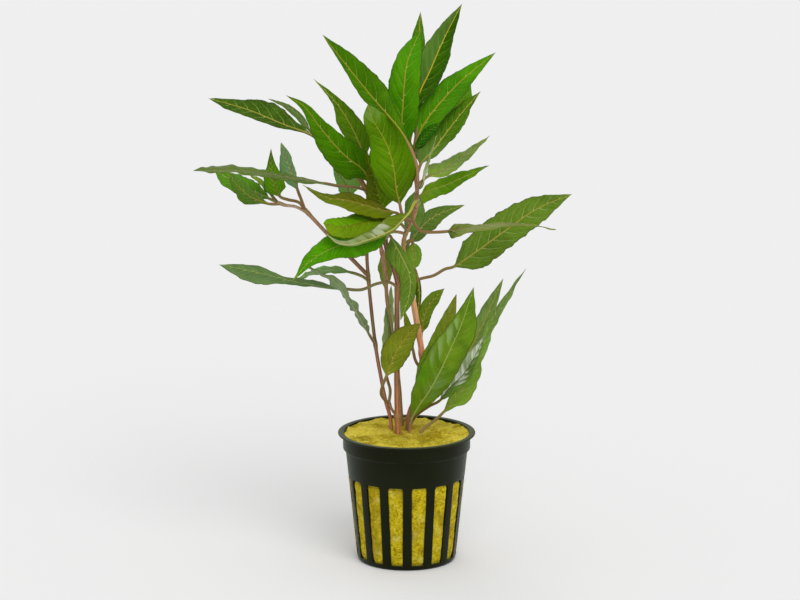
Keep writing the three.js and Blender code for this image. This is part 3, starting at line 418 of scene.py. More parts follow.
        [], [(-53, 6, 143), (-59, 10, 145), (-67, 13, 148.5), (-75.5, 16, 152.5)]),
    "leaf_left_narrow": (("left_twig", 142.5), [2.5, 2.3, 1.5], [1.9, 1.9, 1.2], [65], "olive", (110, 150, 30),
        [], [(-52.5, 4, 145), (-55.5, 5.5, 149), (-61.5, 6, 153)]),
    "leaf_left_dark": (("left_branch", 140), [4.4, 3.7, 1.6], [4.1, 3.4, 1.4], [-10], "dark", (68, 122, 4),
        [(-41.8, 2.2, 142.4), (-46, 1.5, 143.6)], [(-49, 0.5, 145), (-51, 0, 150), (-52, 1, 156), (-52.5, 3, 163.5)],
        {"tip": (28, 70, 4), "rib": (120, 96, 56), "tickStrength": 0.2}),
    "leaf_left_small": (("left_stem", 111), [3, 3.9, 2.7], [2.6, 3, 1.9], [75], "pale", (108, 166, 72),
        [(-17.5, 1, 113.5)], [(-21.5, 0.5, 115), (-28, -1, 116.5), (-35.5, -3, 116), (-44, -6, 113)]),
    "leaf_bumpy": (("left_stem", 85), [2.1, 1.8, 2.3], [2.8, 2.2, 2.8], [140], "pale", (138, 146, 62),
        [], [(-14.5, 1, 90), (-17.5, -6, 98), (-23.5, -17, 110), (-27.5, -21, 116), (-38, -25, 122.5)],
        {"ripple": 0.9, "scallop": 0.2, "veins": 5, "rib": (150, 146, 108)}),
    "leaf_right_back": (("right_stem", 121.5), [4.2, 3.7, 2.4], [4.2, 4.5, 2.4], [50, -30], "green", (88, 118, 44),
        [(-0.3, 8.6, 122.6)], [(0.6, 10.2, 124.2), (2.6, 11.5, 126.8), (5.5, 14, 130.3), (12, 19, 134.4),
        (23, 23, 137.5)]),
    "leaf_behind_hanging": (("right_stem", 115), [0.8, 0.9, 0.8], [1.6, 1.6, 1.2], [0], "dark", (60, 98, 14),
        [(2.6, 9.5, 115)], [(3.8, 11.5, 112.5), (4.8, 12, 107.5), (5, 12, 102.5), (4.5, 11.5, 96)]),
    "leaf_right_hanging": (("right_stem", 125.5), [2.4, 2.8, 1.8], [3, 3.7, 2.4], [0], "olive", (112, 158, 42),
        [(1.8, 5.6, 127)], [(2.4, 7.2, 125.2), (3, 7.6, 121.5), (3.2, 7.5, 118), (2.6, 7, 114.8)],
        {"leftAt": [0.06, 0.45, 0.8], "rightAt": [0.06, 0.45, 0.8]}),
    "leaf_stem_back": (("right_stem", 127), [2.2, 3.7, 4.2], [4, 4.4, 3], [0], "pale", (104, 146, 62),
        [(-0.8, 5.8, 127.9)], [(-0.4, 7, 129.2), (0.9, 7.6, 132), (2.4, 8.2, 135.5), (3.4, 8.8, 139.5),
        (3.7, 9.4, 146)], {"rib": (150, 164, 90), "paintedSpots": [(0.75, 0.3, 0.2, 0.5, (186, 200, 130), 0.7)]}),
    "leaf_olive_right": (("right_stem", 81), [1.8, 3, 2.9], [2.4, 2.6, 2.2], [0], "olive", (102, 130, 28),
        [(5.6, 9.5, 84.5)], [(5.8, 10.8, 88), (6.6, 11.5, 93), (8.2, 13, 98), (11.5, 15.5, 101.8), (15, 18, 105)]),
    "leaf_big_right": (("right_stem", 109), [6.2, 7.3, 5.5], [6.8, 6.2, 5.7], [-10], "dark", (94, 128, 32),
        [(5, 4.5, 111.5), (10.5, 2, 113.5), (15, 0, 116.5)], [(18, -1, 117.5), (27, -5, 124.5), (38, -9, 133.5),
        (49.5, -13, 142.5), (63, -16, 149)], {"scallop": 0.055, "vein": (160, 178, 104), "veinStrength": 1.0,
        "count": 10}),
    "leaf_low_dark": (("right_stem", 74.5), [1.2, 1.6, 1.2], [1.2, 1.6, 1.2], [0], "olive", (106, 128, 18),
        [(3.5, 4, 79)], [(2.5, 3, 83.5), (1.5, 2.8, 88.5), (0.5, 3, 93), (-1, 4, 99.5)]),
    "leaf_front_olive": (("side_shoot", 62.5), [4.1, 6, 4.6], [4.3, 5.2, 4.2], [10], "olive", (116, 128, 26),
        [(-9, -1.5, 65), (-10, -4.5, 68), (-9.3, -8, 72)], [(-8, -10, 75.8), (-6.6, -10.3, 80), (-4, -11, 86),
        (-0.5, -10, 91.5), (5.5, -7, 96.5)], {"tip": (104, 104, 24), "count": 7}),
    "leaf_low_grey": (("side_shoot", 62.8), [1.8, 3.1, 2.8], [1.5, 2.6, 2.4], [45], "pale", (150, 178, 106),
        [(-6.5, 7, 66.5)], [(-7.7, 8.5, 71), (-8, 10.5, 78.5), (-7, 13, 91.5), (-6, 15, 107)]),
    "leaf_low_big": (None, [6.2, 7.7, 4.8], [3.8, 6.2, 6.6], [-10], "bright", (98, 136, 24),
        [(1, 1.8, 47), (1.2, 1.8, 51.5)], [(2, 1, 56), (4.8, -1.5, 62), (8.5, -5.5, 68.5), (12.5, -10, 77),
        (16.5, -14.5, 87), (21, -20, 99), (25.5, -24, 114.5)], {"radius": 0.5, "ripple": 0.7, "rib": (160, 172, 92),
        "count": 8, "paintedSpots": [(0.62, -0.6, 0.2, 0.5, (156, 184, 120), 0.65),
        (0.3, 0.3, 0.12, 0.6, (108, 140, 90), 0.45), (0.34, -0.7, 0.1, 0.4, (70, 140, 4), 0.6)]}),
    "leaf_low_left": (None, [1.5, 3.7, 3.2], [2.8, 3.5, 3.4], [0], "olive", (108, 140, 24),
        [(0.4, 3.9, 46.8), (0.4, 4, 51)], [(0.8, 4.2, 55), (2.5, 4.4, 60), (4.6, 4.6, 66), (7.5, 5, 75),
        (11.8, 5.2, 84.5), (15.5, 5.2, 93.5), (19.5, 5, 105.5)], {"bluntness": 1.6, "radius": 0.42,
        "foot": (92, 128, 26), "tip": (120, 130, 40), "paintedSpots": [(1.0, 0.0, 0.16, 1.6, (196, 204, 178), 0.9)]}),
    "leaf_low_right": (None, [3.2, 2, 1.5], [5, 2.6, 1.9], [-20, -30], "green", (116, 156, 56),
        [(3.5, 1.2, 47), (7, 3, 52), (11, 4.5, 54.6)], [(13.8, 5.3, 57), (17, 6.2, 60.5), (22, 8, 66.5),
        (27.5, 10, 78.5), (34.5, 12, 94.5), (47, 14, 114)], {"ripple": 0.7, "scallop": 0.12, "veins": 6,
        "tip": (104, 140, 76), "foot": (122, 160, 36), "vein": (186, 204, 130)}),
    "leaf_low_silver": (None, [4.4, 6, 3], [4, 5.6, 3], [-50], "silver", (110, 152, 40),
        [(2.4, 8.4, 46.5), (1.2, 8.2, 50.5), (3.4, 6.8, 55.5), (8.8, 3.6, 60.6)], [(13, 0.8, 63.6), (17, -1, 69),
        (23, -3, 76), (31, -6, 92)], {"rise": 0.6, "leftSide": (196, 212, 172), "rib": (84, 80, 40),
        "vein": (150, 176, 120), "paintedSpots": [(0.16, -0.6, 0.16, 0.7, (236, 240, 230), 0.9),
        (0.42, -0.2, 0.14, 1.0, (250, 252, 244), 1.0), (0.78, -0.1, 0.2, 0.9, (240, 246, 226), 1.0)]}),
}
stemKeys = ("on", "radius", "points", "tones")
leafKeys = ("on", "left", "right", "roll", "kind", "upper", "stalk", "blade")
stemTable = {name: dict(zip(stemKeys, row)) for name, row in stemRows.items()}
leafTable = {name: dict(zip(leafKeys, row)) | dict(*row[8:]) for name, row in leafRows.items()}

# Leaves

leafMake = {  # a leaf's own row can have other values
    "radius": 0.6,  # mm, of the stalk
    "thickness": 0.15,  # half of it, at the middle of the blade
    "rise": 0.3,  # how steeply the halves rise from the midrib
    "droop": 0.22,  # how far they bend back down
    "leftAt": [0.2, 0.45, 0.7],  # shares of the blade's length where its half widths are given
    "rightAt": [0.2, 0.45, 0.7],
    "bluntness": 1.0,  # how steeply the outline runs into the tip
    "veins": 9,  # swellings of the margin
    "scallop": 0.035,  # their height as a share of the width
    "waves": 3.5,  # how often the margins wave up and down
    "ripple": 0.35,  # mm that they wave
    "rowStep": 0.75,  # mm between rows along the leaf
    "columns": 27,  # points across one face
    "ribAbove": 0.22,  # how far the midrib stands out on the face one sees, as a share of its radius
    "ribBelow": 0.75,
}


def growsFrom(row):  # the stem's point that a branch or a leaf starts on, if it doesn't start in the wool
    if not row["on"]:
        return []
    curve = stemCurves[row["on"][0]]
    return [curve.dense[curve.nearest(row["on"][1])]]


def halfWidth(widths, places, along, bluntness):
    # A monotone cubic through the given half widths, none at the foot and the tip
    places = np.array([0, *places, 1])
    values = np.array([0, *widths, 0], float)
    steep = np.diff(values) / np.diff(places)
    product, total = steep[1:] * steep[:-1], steep[1:] + steep[:-1]
    inner = np.where(product > 0, 2 * product / np.where(total == 0, 1, total), 0)
    slopes = np.concatenate([[steep[0]], inner, [bluntness * steep[-1]]])
    i = np.clip(np.searchsorted(places, along) - 1, 0, len(places) - 2)
    span = places[i + 1] - places[i]
    t = (along - places[i]) / span
    back = 1 - t
    curve = back**2 * (1 + 2 * t) * values[i] + t**2 * (3 - 2 * t) * values[i + 1]
    return np.maximum(curve + span * t * back * (back * slopes[i] - t * slopes[i + 1]), 0)


def unevenWave(rng, along, waves):  # three sines of unlike length and height, with seeded starts
    starts = rng.uniform(0, fullTurn, 3)
    return sum(height * np.sin(waves * along * length + start)
               for height, length, start in zip((1, 0.6, 0.4), (fullTurn, 10.7, 18.2), starts)) / 1.6


def leafPiece(name, leaf, seed):
    # Rings across a midrib curve: round on the stalk, then a thin lens as wide as the blade there,
    # bent up by the rise, down by the droop, rippled near its margins, with a ridge for the midrib.
    leaf = {**leafMake, **leaf}
    rng = np.random.default_rng(seed)
    carrier = growsFrom(leaf)
    curve = Curve([*carrier, *leaf["stalk"], *leaf["blade"]])
    foot = curve.knots[len(leaf["stalk"]) + len(carrier)]
    length = curve.length - foot
    stalkRows, bladeRows = max(4, int(foot / leaf["rowStep"])), max(24, int(length / leaf["rowStep"]))
    t = np.linspace(0, 1, bladeRows, endpoint=False)
    bladeAlong = 0.75 * t + 0.25 * (1 - np.cos(math.pi * t)) / 2  # rows a little closer at foot and tip
    reach = np.concatenate([np.linspace(0, foot, stalkRows, endpoint=False), foot + bladeAlong * length])
    along = (reach - foot) / length
    share = np.clip(along, 0, 1)

    ahead = curve.along(reach)
    up = unit(front - ahead * (ahead @ front)[:, None])
    rolls = np.radians(np.interp(share, np.linspace(0, 1, len(leaf["roll"])), leaf["roll"]))[:, None]
    up = up * np.cos(rolls) + np.cross(ahead, up) * np.sin(rolls)
    right = np.cross(ahead, up)

    columns = leaf["columns"]  # of the upper face, whose outer two also belong to the lower face
    t = np.linspace(-1, 1, columns)
    across = np.sign(t) * np.abs(t) ** 1.25  # closer at the midrib
    across = np.concatenate([across, across[-2:0:-1]])
    face = np.concatenate([np.ones(columns), -np.ones(columns - 2)])
    turn = np.concatenate([np.linspace(math.pi, 0, columns), np.linspace(0, -math.pi, columns)[1:-1]])

    stalk, sides = leaf["radius"], []
    for side in ("left", "right"):
        wide = halfWidth(leaf[side], leaf[side + "At"], share, leaf["bluntness"])
        wide = wide * (1 + leaf["scallop"] * unevenWave(rng, share, leaf["veins"]))
        sides.append(np.maximum(wide, 0.8 * stalk * (1 - share))[:, None])  # no narrower than the midrib
    widthHere = across * np.where(across < 0, *sides)
    flat = smoothStep(-1.5, 3.0, along * length)[:, None]  # mm around the foot where the stalk widens
    out = np.abs(across)
    keel = 0.012  # rounds the fold along the midrib
    fold = leaf["rise"] * (np.sqrt(out**2 + keel) - math.sqrt(keel)) - leaf["droop"] * out**2
    lift = np.where(across < 0, *sides) * fold
    for sign in (-1, 1):
        wave = unevenWave(rng, share, leaf["waves"]) * smoothStep(0, 0.25, share)
        lift = lift + np.where(np.sign(across) == sign, leaf["ripple"] * wave[:, None] * out**2.2, 0)
    tipward = share[:, None]
    skin = leaf["thickness"] * np.sqrt(1 - out**2) * (1 - 0.5 * tipward) + 0.02
    rib = stalk * (1 - tipward) ** 0.8
    ridgeHighlight = rib * np.exp(-(widthHere / (0.75 * rib + 0.1)) ** 2)
    skin = skin + np.where(face > 0, leaf["ribAbove"], leaf["ribBelow"]) * ridgeHighlight
    outX = (1 - flat) * stalk * np.cos(turn) + flat * widthHere
    outY = (1 - flat) * stalk * np.sin(turn) + flat * (lift + face * skin)
    rings = curve.at(reach)[:, None] + right[:, None] * outX[..., None] + up[:, None] * outY[..., None]

    points, faces = closedTube(rings)
    points[-1] = curve.at(curve.length)
    flatten = lambda values: np.broadcast_to(values, outX.shape).ravel()
    spot = np.stack([flatten(along[:, None]), flatten(across), flatten(widthHere)], -1)
    spot = np.vstack([spot, [along[0], 0, 0], [1, 0, 0]])
    lower = np.where(face > 0, 0.0, 1.0)
    lower[[0, columns - 1]] = 0.5
    lower = np.concatenate([flatten(lower), [0.5, 0.5]])
    return meshPiece(name + "_blade", points, faces, {"leafSpot": spot, "underside": lower}), length


# Stems

stemMake = {
    "rowStep": 0.5, "columns": 28,  # mm between rings, and points of a ring
    "swelling": 0.32, "swellReach": 1.5,  # where something grows: share of the radius, and mm along the stem
    "uneven": 0.03, "fourSided": 0.05, "furrows": 0.012,  # shares of the radius
}


def stemPiece(name, stem, seed):
    # A tube along the stem's curve, slightly four-sided, swollen at each place where something grows
    rng = np.random.default_rng(seed)
    curve = stemCurves[name]
    m, columns = stemMake, stemMake["columns"]
    rows = int(curve.length / m["rowStep"])
    reach = np.linspace(0, curve.length, rows)
    ahead = curve.along(reach)
    right = unit(np.cross(ahead, front))
    back = np.cross(right, ahead)
    turn = ringTurns(columns)
    swell = np.zeros(rows)
    for other in [*leafTable.values(), *stemTable.values()]:
        if other["on"] and other["on"][0] == name:
            node = curve.reach[curve.nearest(other["on"][1])]
            swell = np.maximum(swell, np.exp(-((reach - node) / m["swellReach"]) ** 2))
    levels, radii = np.array(stem["radius"]).T
    uneven = m["uneven"] * unevenWave(rng, reach / curve.length, 5)
    radius = np.interp(curve.at(reach)[:, 2], levels, radii) * (1 + m["swelling"] * swell + uneven)
    radius = radius[:, None] * (1 + m["fourSided"] * np.cos(4 * turn) + m["furrows"] * np.cos(11 * turn + 1))
    rings = (curve.at(reach)[:, None] + right[:, None] * (radius * np.cos(turn))[..., None]
             + back[:, None] * (radius * np.sin(turn))[..., None])
    points, faces = closedTube(rings)
    points[-1] += ahead[-1] * 0.5 * radii[-1]
    spot = np.stack([np.repeat(reach, columns), np.tile(turn, rows), np.repeat(swell, columns)], -1)
    spot = np.vstack([spot, [0, 0, 0], [curve.length, 0, 0]])
    return meshPiece(name + "_skin", points, faces, {"stemSpot": spot})


# Pot

potMake = {
    "height": 51.4, "baseRadius": 19.4, "wallRadius": 24.0, "collarRadius": 25.0, "rimRadius": 27.0, "lipRadius": 24.6,
    "collarFoot": 44.6, "collarStep": 0.4, "rimThickness": 0.7, "footRounding": 1.4, "wall": 0.9, "floor": 1.2,
    "slots": 15, "slotTurn": 0.7, "slotFoot": 2.0, "slotHead": 34.2, "slotFootWidth": 4.6, "slotHeadWidth": 6.2,
    "drains": 10, "drainFrom": 7.5, "drainTo": 15.5, "drainCells": 6, "slotRounding": 0.45,
}
slotPitch = fullTurn / potMake["slots"]
firstSlot = math.radians(potMake["slotTurn"]) + slotPitch / 2 - math.pi / 2  # where its middle is


def potWall(height):  # radius of the outer wall at a height
    p = potMake
    return p["baseRadius"] + (p["wallRadius"] - p["baseRadius"]) * height / p["collarFoot"]


def potProfile(slotRows, drainRows):
    # Radii and heights from the middle of the floor out, up the outer wall, over the rim, down the inner
    # wall and back to the middle, as lists for the underside, outer wall, rim, inner wall and floor
    p = potMake
    bend, base, wall = p["footRounding"], potWall(0), p["wallRadius"]
    foot, step, top, thick = p["collarFoot"], p["collarStep"], p["height"], p["rimThickness"]
    drainRadii = [*np.linspace(p["drainFrom"], p["drainTo"], drainRows + 1)]
    under = [(radius, 0) for radius in (0.6, 4, *drainRadii, base - bend - 0.6)]
    under += [(base - bend + bend * math.sin(a), bend - bend * math.cos(a)) for a in np.linspace(0, math.pi / 2, 6)]
    heights = [*np.linspace(p["slotFoot"], p["slotHead"], slotRows + 1), 36, 38, 40, 42, 43.4, foot - 0.25]
    outside = [(potWall(z), z) for z in heights]
    corners = [  # a radius and a height, and the steps from there to the profile's points
        (wall, foot, [(0.05, 0), (0.3, 0.14)]),
        (p["collarRadius"], foot + step, [(-0.3, -0.1), (-0.05, 0), (0, 0.3)]),
        (p["collarRadius"], top, [(0, -3.9), (0, -1.9), (0.02, -0.95), (0.25, -thick)]),
        (p["rimRadius"], top, [(-0.5, -thick), (-0.12, 0.1 - thick), (0, -0.35), (-0.12, -0.08), (-0.35, 0)]),
        (p["lipRadius"], top, [(1.2, 0), (0.35, 0), (0.12, -0.12), (0, -0.45), (0, -3.4), (-0.1, -5.4), (-0.9, -6.4)]),
        (wall, top, [(-p["wall"], -7.2)]),
    ]
    rim = [(radius + out, height + up) for radius, height, steps in corners for out, up in steps]
    inside = [(potWall(z) - p["wall"], z) for z in heights[::-1]]
    radii = (potWall(p["floor"]) - p["wall"], *drainRadii[::-1], 4, 0.6)
    return under, outside, rim, inside, [(radius, p["floor"]) for radius in radii]


def potPiece():
    # One turned skin, its columns warped so that they run along the edges of the slots. The cells inside
    # slots and drains are left out, and each open edge of the outer skin is joined to its twin inside.
    p = potMake
    slotRows, slotCells, ribCells = 25, 8, 6
    drainRow, drainRows = 2, 4  # the profile's first row at the drains, and how many there are
    parts = potProfile(slotRows, drainRows)
    profile = np.array(sum(parts, []))
    radius, height = profile[:, :1], profile[:, 1:]
    rows, columns = len(profile), (slotCells + ribCells) * p["slots"]
    column = np.arange(columns)
    cell = column % (slotCells + ribCells)
    middle = firstSlot + slotPitch * (column // (slotCells + ribCells))
    share = np.clip((height - p["slotFoot"]) / (p["slotHead"] - p["slotFoot"]), 0, 1)
    corner = 1.1  # mm below the slots' heads where they start to be rounded
    rounding = np.clip((height - p["slotHead"] + corner) / corner, 0, 1) * (height <= p["slotHead"] + 0.01)
    halfSlot = (p["slotFootWidth"] + share * (p["slotHeadWidth"] - p["slotFootWidth"])) / 2
    halfSlot = halfSlot - p["slotRounding"] * rounding**2
    halfTurn = np.arcsin(halfSlot / potWall(np.clip(height, 0, p["slotHead"])))
    inSlot = middle + (cell / slotCells * 2 - 1) * halfTurn
    onRib = middle + halfTurn + (cell - slotCells) / ribCells * (slotPitch - 2 * halfTurn)
    points = turned(radius, height, np.where(cell <= slotCells, inSlot, onRib)).reshape(-1, 3)

    faces = tubeFaces(rows, columns)
    rowOf = np.repeat(np.arange(rows - 1), columns)
    first, innerLast = len(parts[0]), rows - len(parts[-1]) - 1
    between = lambda low, count: (rowOf >= low) & (rowOf < low + count)
    slots = (between(first, slotRows) | between(innerLast - slotRows, slotRows)) & np.tile(cell < slotCells, rows - 1)
    drains = np.tile(column % (columns // p["drains"]) < p["drainCells"], rows - 1)
    drains &= between(drainRow, drainRows) | between(rows - 1 - drainRow - drainRows, drainRows)
    keep = ~(slots | drains)
    twin = np.arange(rows)
    twin[first:first + slotRows + 1] = innerLast - np.arange(slotRows + 1)
    twin[drainRow:drainRow + drainRows + 1] = rows - 1 - drainRow - np.arange(drainRows + 1)
    gone = faces[~keep & (rowOf <= first + slotRows)]
    edges = np.concatenate([gone[:, [side, (side + 1) % 4]] for side in range(4)])
    bare = edges[~np.isin(edges @ [rows * columns, 1], edges @ [1, rows * columns])]
    inner = twin[bare // columns] * columns + bare % columns
    walls = np.concatenate([bare, inner[:, ::-1]], -1)
    points = np.vstack([points, [0, 0, 0], [0, 0, p["floor"]]])
    piece = meshPiece("pot_shell", points, [faces[keep], walls, endFans(rows, columns)])
    bevel = piece.modifiers.new("soft edges", "BEVEL")
    bevel.width, bevel.segments, bevel.limit_method, bevel.angle_limit = 0.12 * mm, 2, "ANGLE", math.radians(50)
    return piece


# Rock wool

woolMake = {
    "top": 50.7, "edgeDrop": 0.1, "stemDip": 1.3, "foot": 1.5, "radius": 24.5, "bulge": 0.55, "roughness": 0.22,
    "lumps": [(0.36, 9, 3, 2), (0.3, 5, 6, 2), (0.36, 2.6, 4, 4)],  # height, size, seed and octaves of the noise
    "fibres": 2400, "slotFibres": 1500, "fibreRadius": 0.035,
}


def woolTop(x, y):  # height of the wool's upper surface: lumps and crumbs, and a dip round the stems
    spot = np.stack([x, y, 0 * x], -1)
    edge = smoothStep(20, 24.3, np.hypot(x, y))
    dip = np.exp(-(((x - 4) / 4.5) ** 2 + ((y + 1) / 3) ** 2))
    lumps = sum(height * noise(spot, *kind) for height, *kind in woolMake["lumps"])
    return woolMake["top"] - woolMake["edgeDrop"] * edge - woolMake["stemDip"] * dip + lumps


def woolPiece():
    # A turned block: its top from woolTop, its side just inside the pot, pushed out a little and roughened
    # by noise in the slots
    turns = ringTurns(300)
    radii = np.concatenate([[0.5], np.linspace(1.2, 24.1, 84), [woolMake["radius"]]])[:, None]
    top = turned(radii, 0, turns)
    top[..., 2] = woolTop(top[..., 0], top[..., 1])
    heights = np.linspace(49.6, 1.6, 110)[:, None]
    clear = potWall(np.minimum(heights, 44)) - potMake["wall"] - 0.06  # just inside the pot's wall
    offSlot = (np.mod(turns - firstSlot + slotPitch / 2, slotPitch) - slotPitch / 2) * 21  # mm at the wall
    inHeight = smoothStep(2.2, 3.4, heights) * (1 - smoothStep(32.5, 33.8, heights))
    bulge = woolMake["bulge"] * (1 - smoothStep(2.3, 3.2, np.abs(offSlot))) * inHeight
    radii = np.where(heights > 46, woolMake["radius"], clear) + bulge
    rough = woolMake["roughness"] * noise(turned(radii, heights, turns) * [1, 1, 0.45], 1.6, 5, 4) * (bulge > 0.1)
    side = turned(radii + rough, heights, turns)
    bottom = turned(np.array([[16], [12], [8], [4], [0.5]]), woolMake["foot"], turns)
    return meshPiece("wool_block", *closedTube(np.concatenate([top, side, bottom])))


def fibrePiece(name, starts, outward, lengths, seed):
    # Short bent hairs: four rings of three points along an arc that leaves the surface and turns aside
    rng = np.random.default_rng(seed)
    count = len(starts)
    aside = unit(np.cross(outward, rng.normal(size=(count, 3))))
    bend = rng.uniform(0.4, 1.3, count)[:, None, None]
    steps = np.array([0, 0.35, 0.7, 1.0])[:, None]
    lengths = lengths[:, None, None]
    path = (starts[:, None] + outward[:, None] * lengths * (steps - 0.35 * bend * steps**2)
            + aside[:, None] * lengths * 0.5 * bend * steps**1.3)
    ahead = unit(np.gradient(path, axis=1))
    one = unit(np.cross(ahead, rng.normal(size=(count, 1, 3))))
    two = np.cross(ahead, one)
    taper = woolMake["fibreRadius"] * np.array([1.2, 1, 0.8, 0.35])[:, None, None]
    turn = ringTurns(3)[:, None]
    rings = path[:, :, None] + taper * (one[:, :, None] * np.cos(turn) + two[:, :, None] * np.sin(turn))
    base = 12 * np.arange(count)[:, None, None]  # each hair has 12 points
    quads = (base + tubeFaces(4, 3)).reshape(-1, 4)
    ends = (base + np.array([[0, 2, 1], [9, 10, 11]])).reshape(-1, 3)
    return meshPiece(name, rings.reshape(-1, 3), [quads, ends])


def woolHairs():  # the hairs on top of the wool and those in the slots
    rng = np.random.default_rng(42)
    count, reach = woolMake["fibres"], 23.7
    turns = rng.uniform(0, fullTurn, count)
    radii = reach * np.sqrt(rng.uniform(0, 1, count))
    x, y = radii * np.cos(turns), radii * np.sin(turns)
    lean = unit(np.stack([rng.normal(0, 0.8, count), rng.normal(0, 0.8, count), np.full(count, 0.45)], -1))
    lengths = rng.uniform(0.7, 2.2, count) * (1 - 0.6 * smoothStep(21, reach, radii))
    top = fibrePiece("wool_top_fibres", np.stack([x, y, woolTop(x, y) - 0.1], -1), lean, lengths, 43)
    count = woolMake["slotFibres"]
    which = rng.integers(0, potMake["slots"], count)
    heights = rng.uniform(2.6, 33.4, count)
    turns = firstSlot + which * slotPitch + rng.uniform(-0.085, 0.085, count)
    outward = turned(1, 0, turns)
    lean = unit(outward * 0.12 + rng.normal(0, 0.6, outward.shape) + [0, 0, 0.5])
    starts = turned(potWall(heights) - potMake["wall"] + 0.5, heights, turns)
    return top, fibrePiece("wool_slot_fibres", starts, lean, rng.uniform(0.6, 1.8, count), 44)


# Materials


def veinsTree():
    # Veins of a leaf, from its attribute: along the blade, across it from -1 to 1, and mm from the midrib.
    # A side vein is where (along - mm / length * (slant + bow * across)) * count is a whole number and a half,
    # moved a little by noise and on the left side.
    outputs = ["Rib", "Veins", "Ticks", "Edge", "Quilt", "Net", "Left", "Along", "Across", "Patches", "Relief"]
    tree, inputs, end = newGroup("leaf veins", ["Count", "Slant", "Bow", "Length", "Rib", "Vein", "Seed"], outputs)
    count, slant, bow, length, ribHalf, veinHalf, seed = inputs
    along, across, fromRib = put(tree, "Attribute", output="Vector", attribute_name="leafSpot").split()
    shift = put(tree, "CombineXYZ", {0: seed})
    spot = put(tree, "VectorMath", {0: objectPlace(tree), 1: shift}, operation="ADD")
    u, off, left = abs(across), abs(fromRib), calc("LESS_THAN", across, 0.0)
    phase = (along - off / length * (slant + u * bow)) * count + left * 0.38 + (noiseAt(spot, 130.0) - 0.5) * 0.55
    whole = calc("FLOOR", phase)
    part = phase - whole - 0.5
    apart = abs(part)
    distance = apart * (length * 0.75 / count)  # mm from the nearest side vein
    thin = veinHalf * (1.0 - u * 0.6)
    onBlade = along.ease(0.0, 0.04)
    fade = u.ease(0.98, 0.55, 0.15) * onBlade
    ribApart = off / calc("MAXIMUM", ribHalf * (1.0 - along * 0.72), 0.02)  # in half widths of the midrib
    key = put(tree, "CombineXYZ", {0: whole, 1: left, 2: seed})
    luck = put(tree, "TexWhiteNoise", {"Vector": key}, "Value", noise_dimensions="3D")
    beside = ribApart.ease(0.9, 1.3) * ribApart.ease(3.6, 2.0)
    cells = {"Vector": spot, "Scale": 720.0}
    cells = put(tree, "TexVoronoi", cells, "Distance", feature="DISTANCE_TO_EDGE")
    values = [
        ribApart.ease(1.35, 0.7),  # in the order of the outputs
        (distance / calc("MAXIMUM", thin, 0.01)).ease(1.4, 0.45) * fade,
        distance.ease(0.24, 0.08) * beside * calc("GREATER_THAN", luck, 0.6) * onBlade,
        (u + noiseAt(spot, 900.0) * 0.05).ease(0.955, 1.02) * onBlade,
        apart.ease(0.0, 0.5) * (fade * ribApart.ease(1.0, 4.0)),
        cells.ease(0.12, 0.02) * onBlade,
        left, along, across, noiseAt(spot, 55.0, 3.0), part * fade,
    ]
    setInputs(end, dict(zip(outputs, values)))
    return tree


veins = veinsTree()

leafKinds = {  # tones of the other face, the midrib and the stalk
    "bright": ((104, 140, 84), (158, 146, 50), (164, 122, 92)),
    "green": ((98, 132, 92), (150, 150, 80), (150, 124, 84)),
    "dark": ((88, 118, 84), (172, 158, 70), (146, 118, 76)),
    "olive": ((112, 130, 82), (152, 126, 56), (134, 108, 70)),
    "pale": ((112, 142, 104), (138, 116, 78), (140, 104, 72)),
    "silver": ((228, 236, 216), (110, 104, 64), (140, 110, 74)),
}
leafFinish = {
    "count": 9, "slant": 0.8, "bow": 1.0,  # side veins on each side of the midrib and how they arch
    "ribHalf": 0.3, "veinHalf": 0.13,  # mm
    "vein": None, "tip": None, "foot": None, "leftSide": None,  # colours other than the usual ones
    "veinStrength": 0.9, "tickStrength": 0.75, "roughness": 0.4, "edge": (86, 78, 20), "shadePatch": 0.8, "paintedGlow": 0.55,
    # spots of painted highlight and sheen, and of painted shade where their tone is dark
    "paintedSpots": [],  # soft light spots: where along and across the blade, their half sizes, tone and strength
}


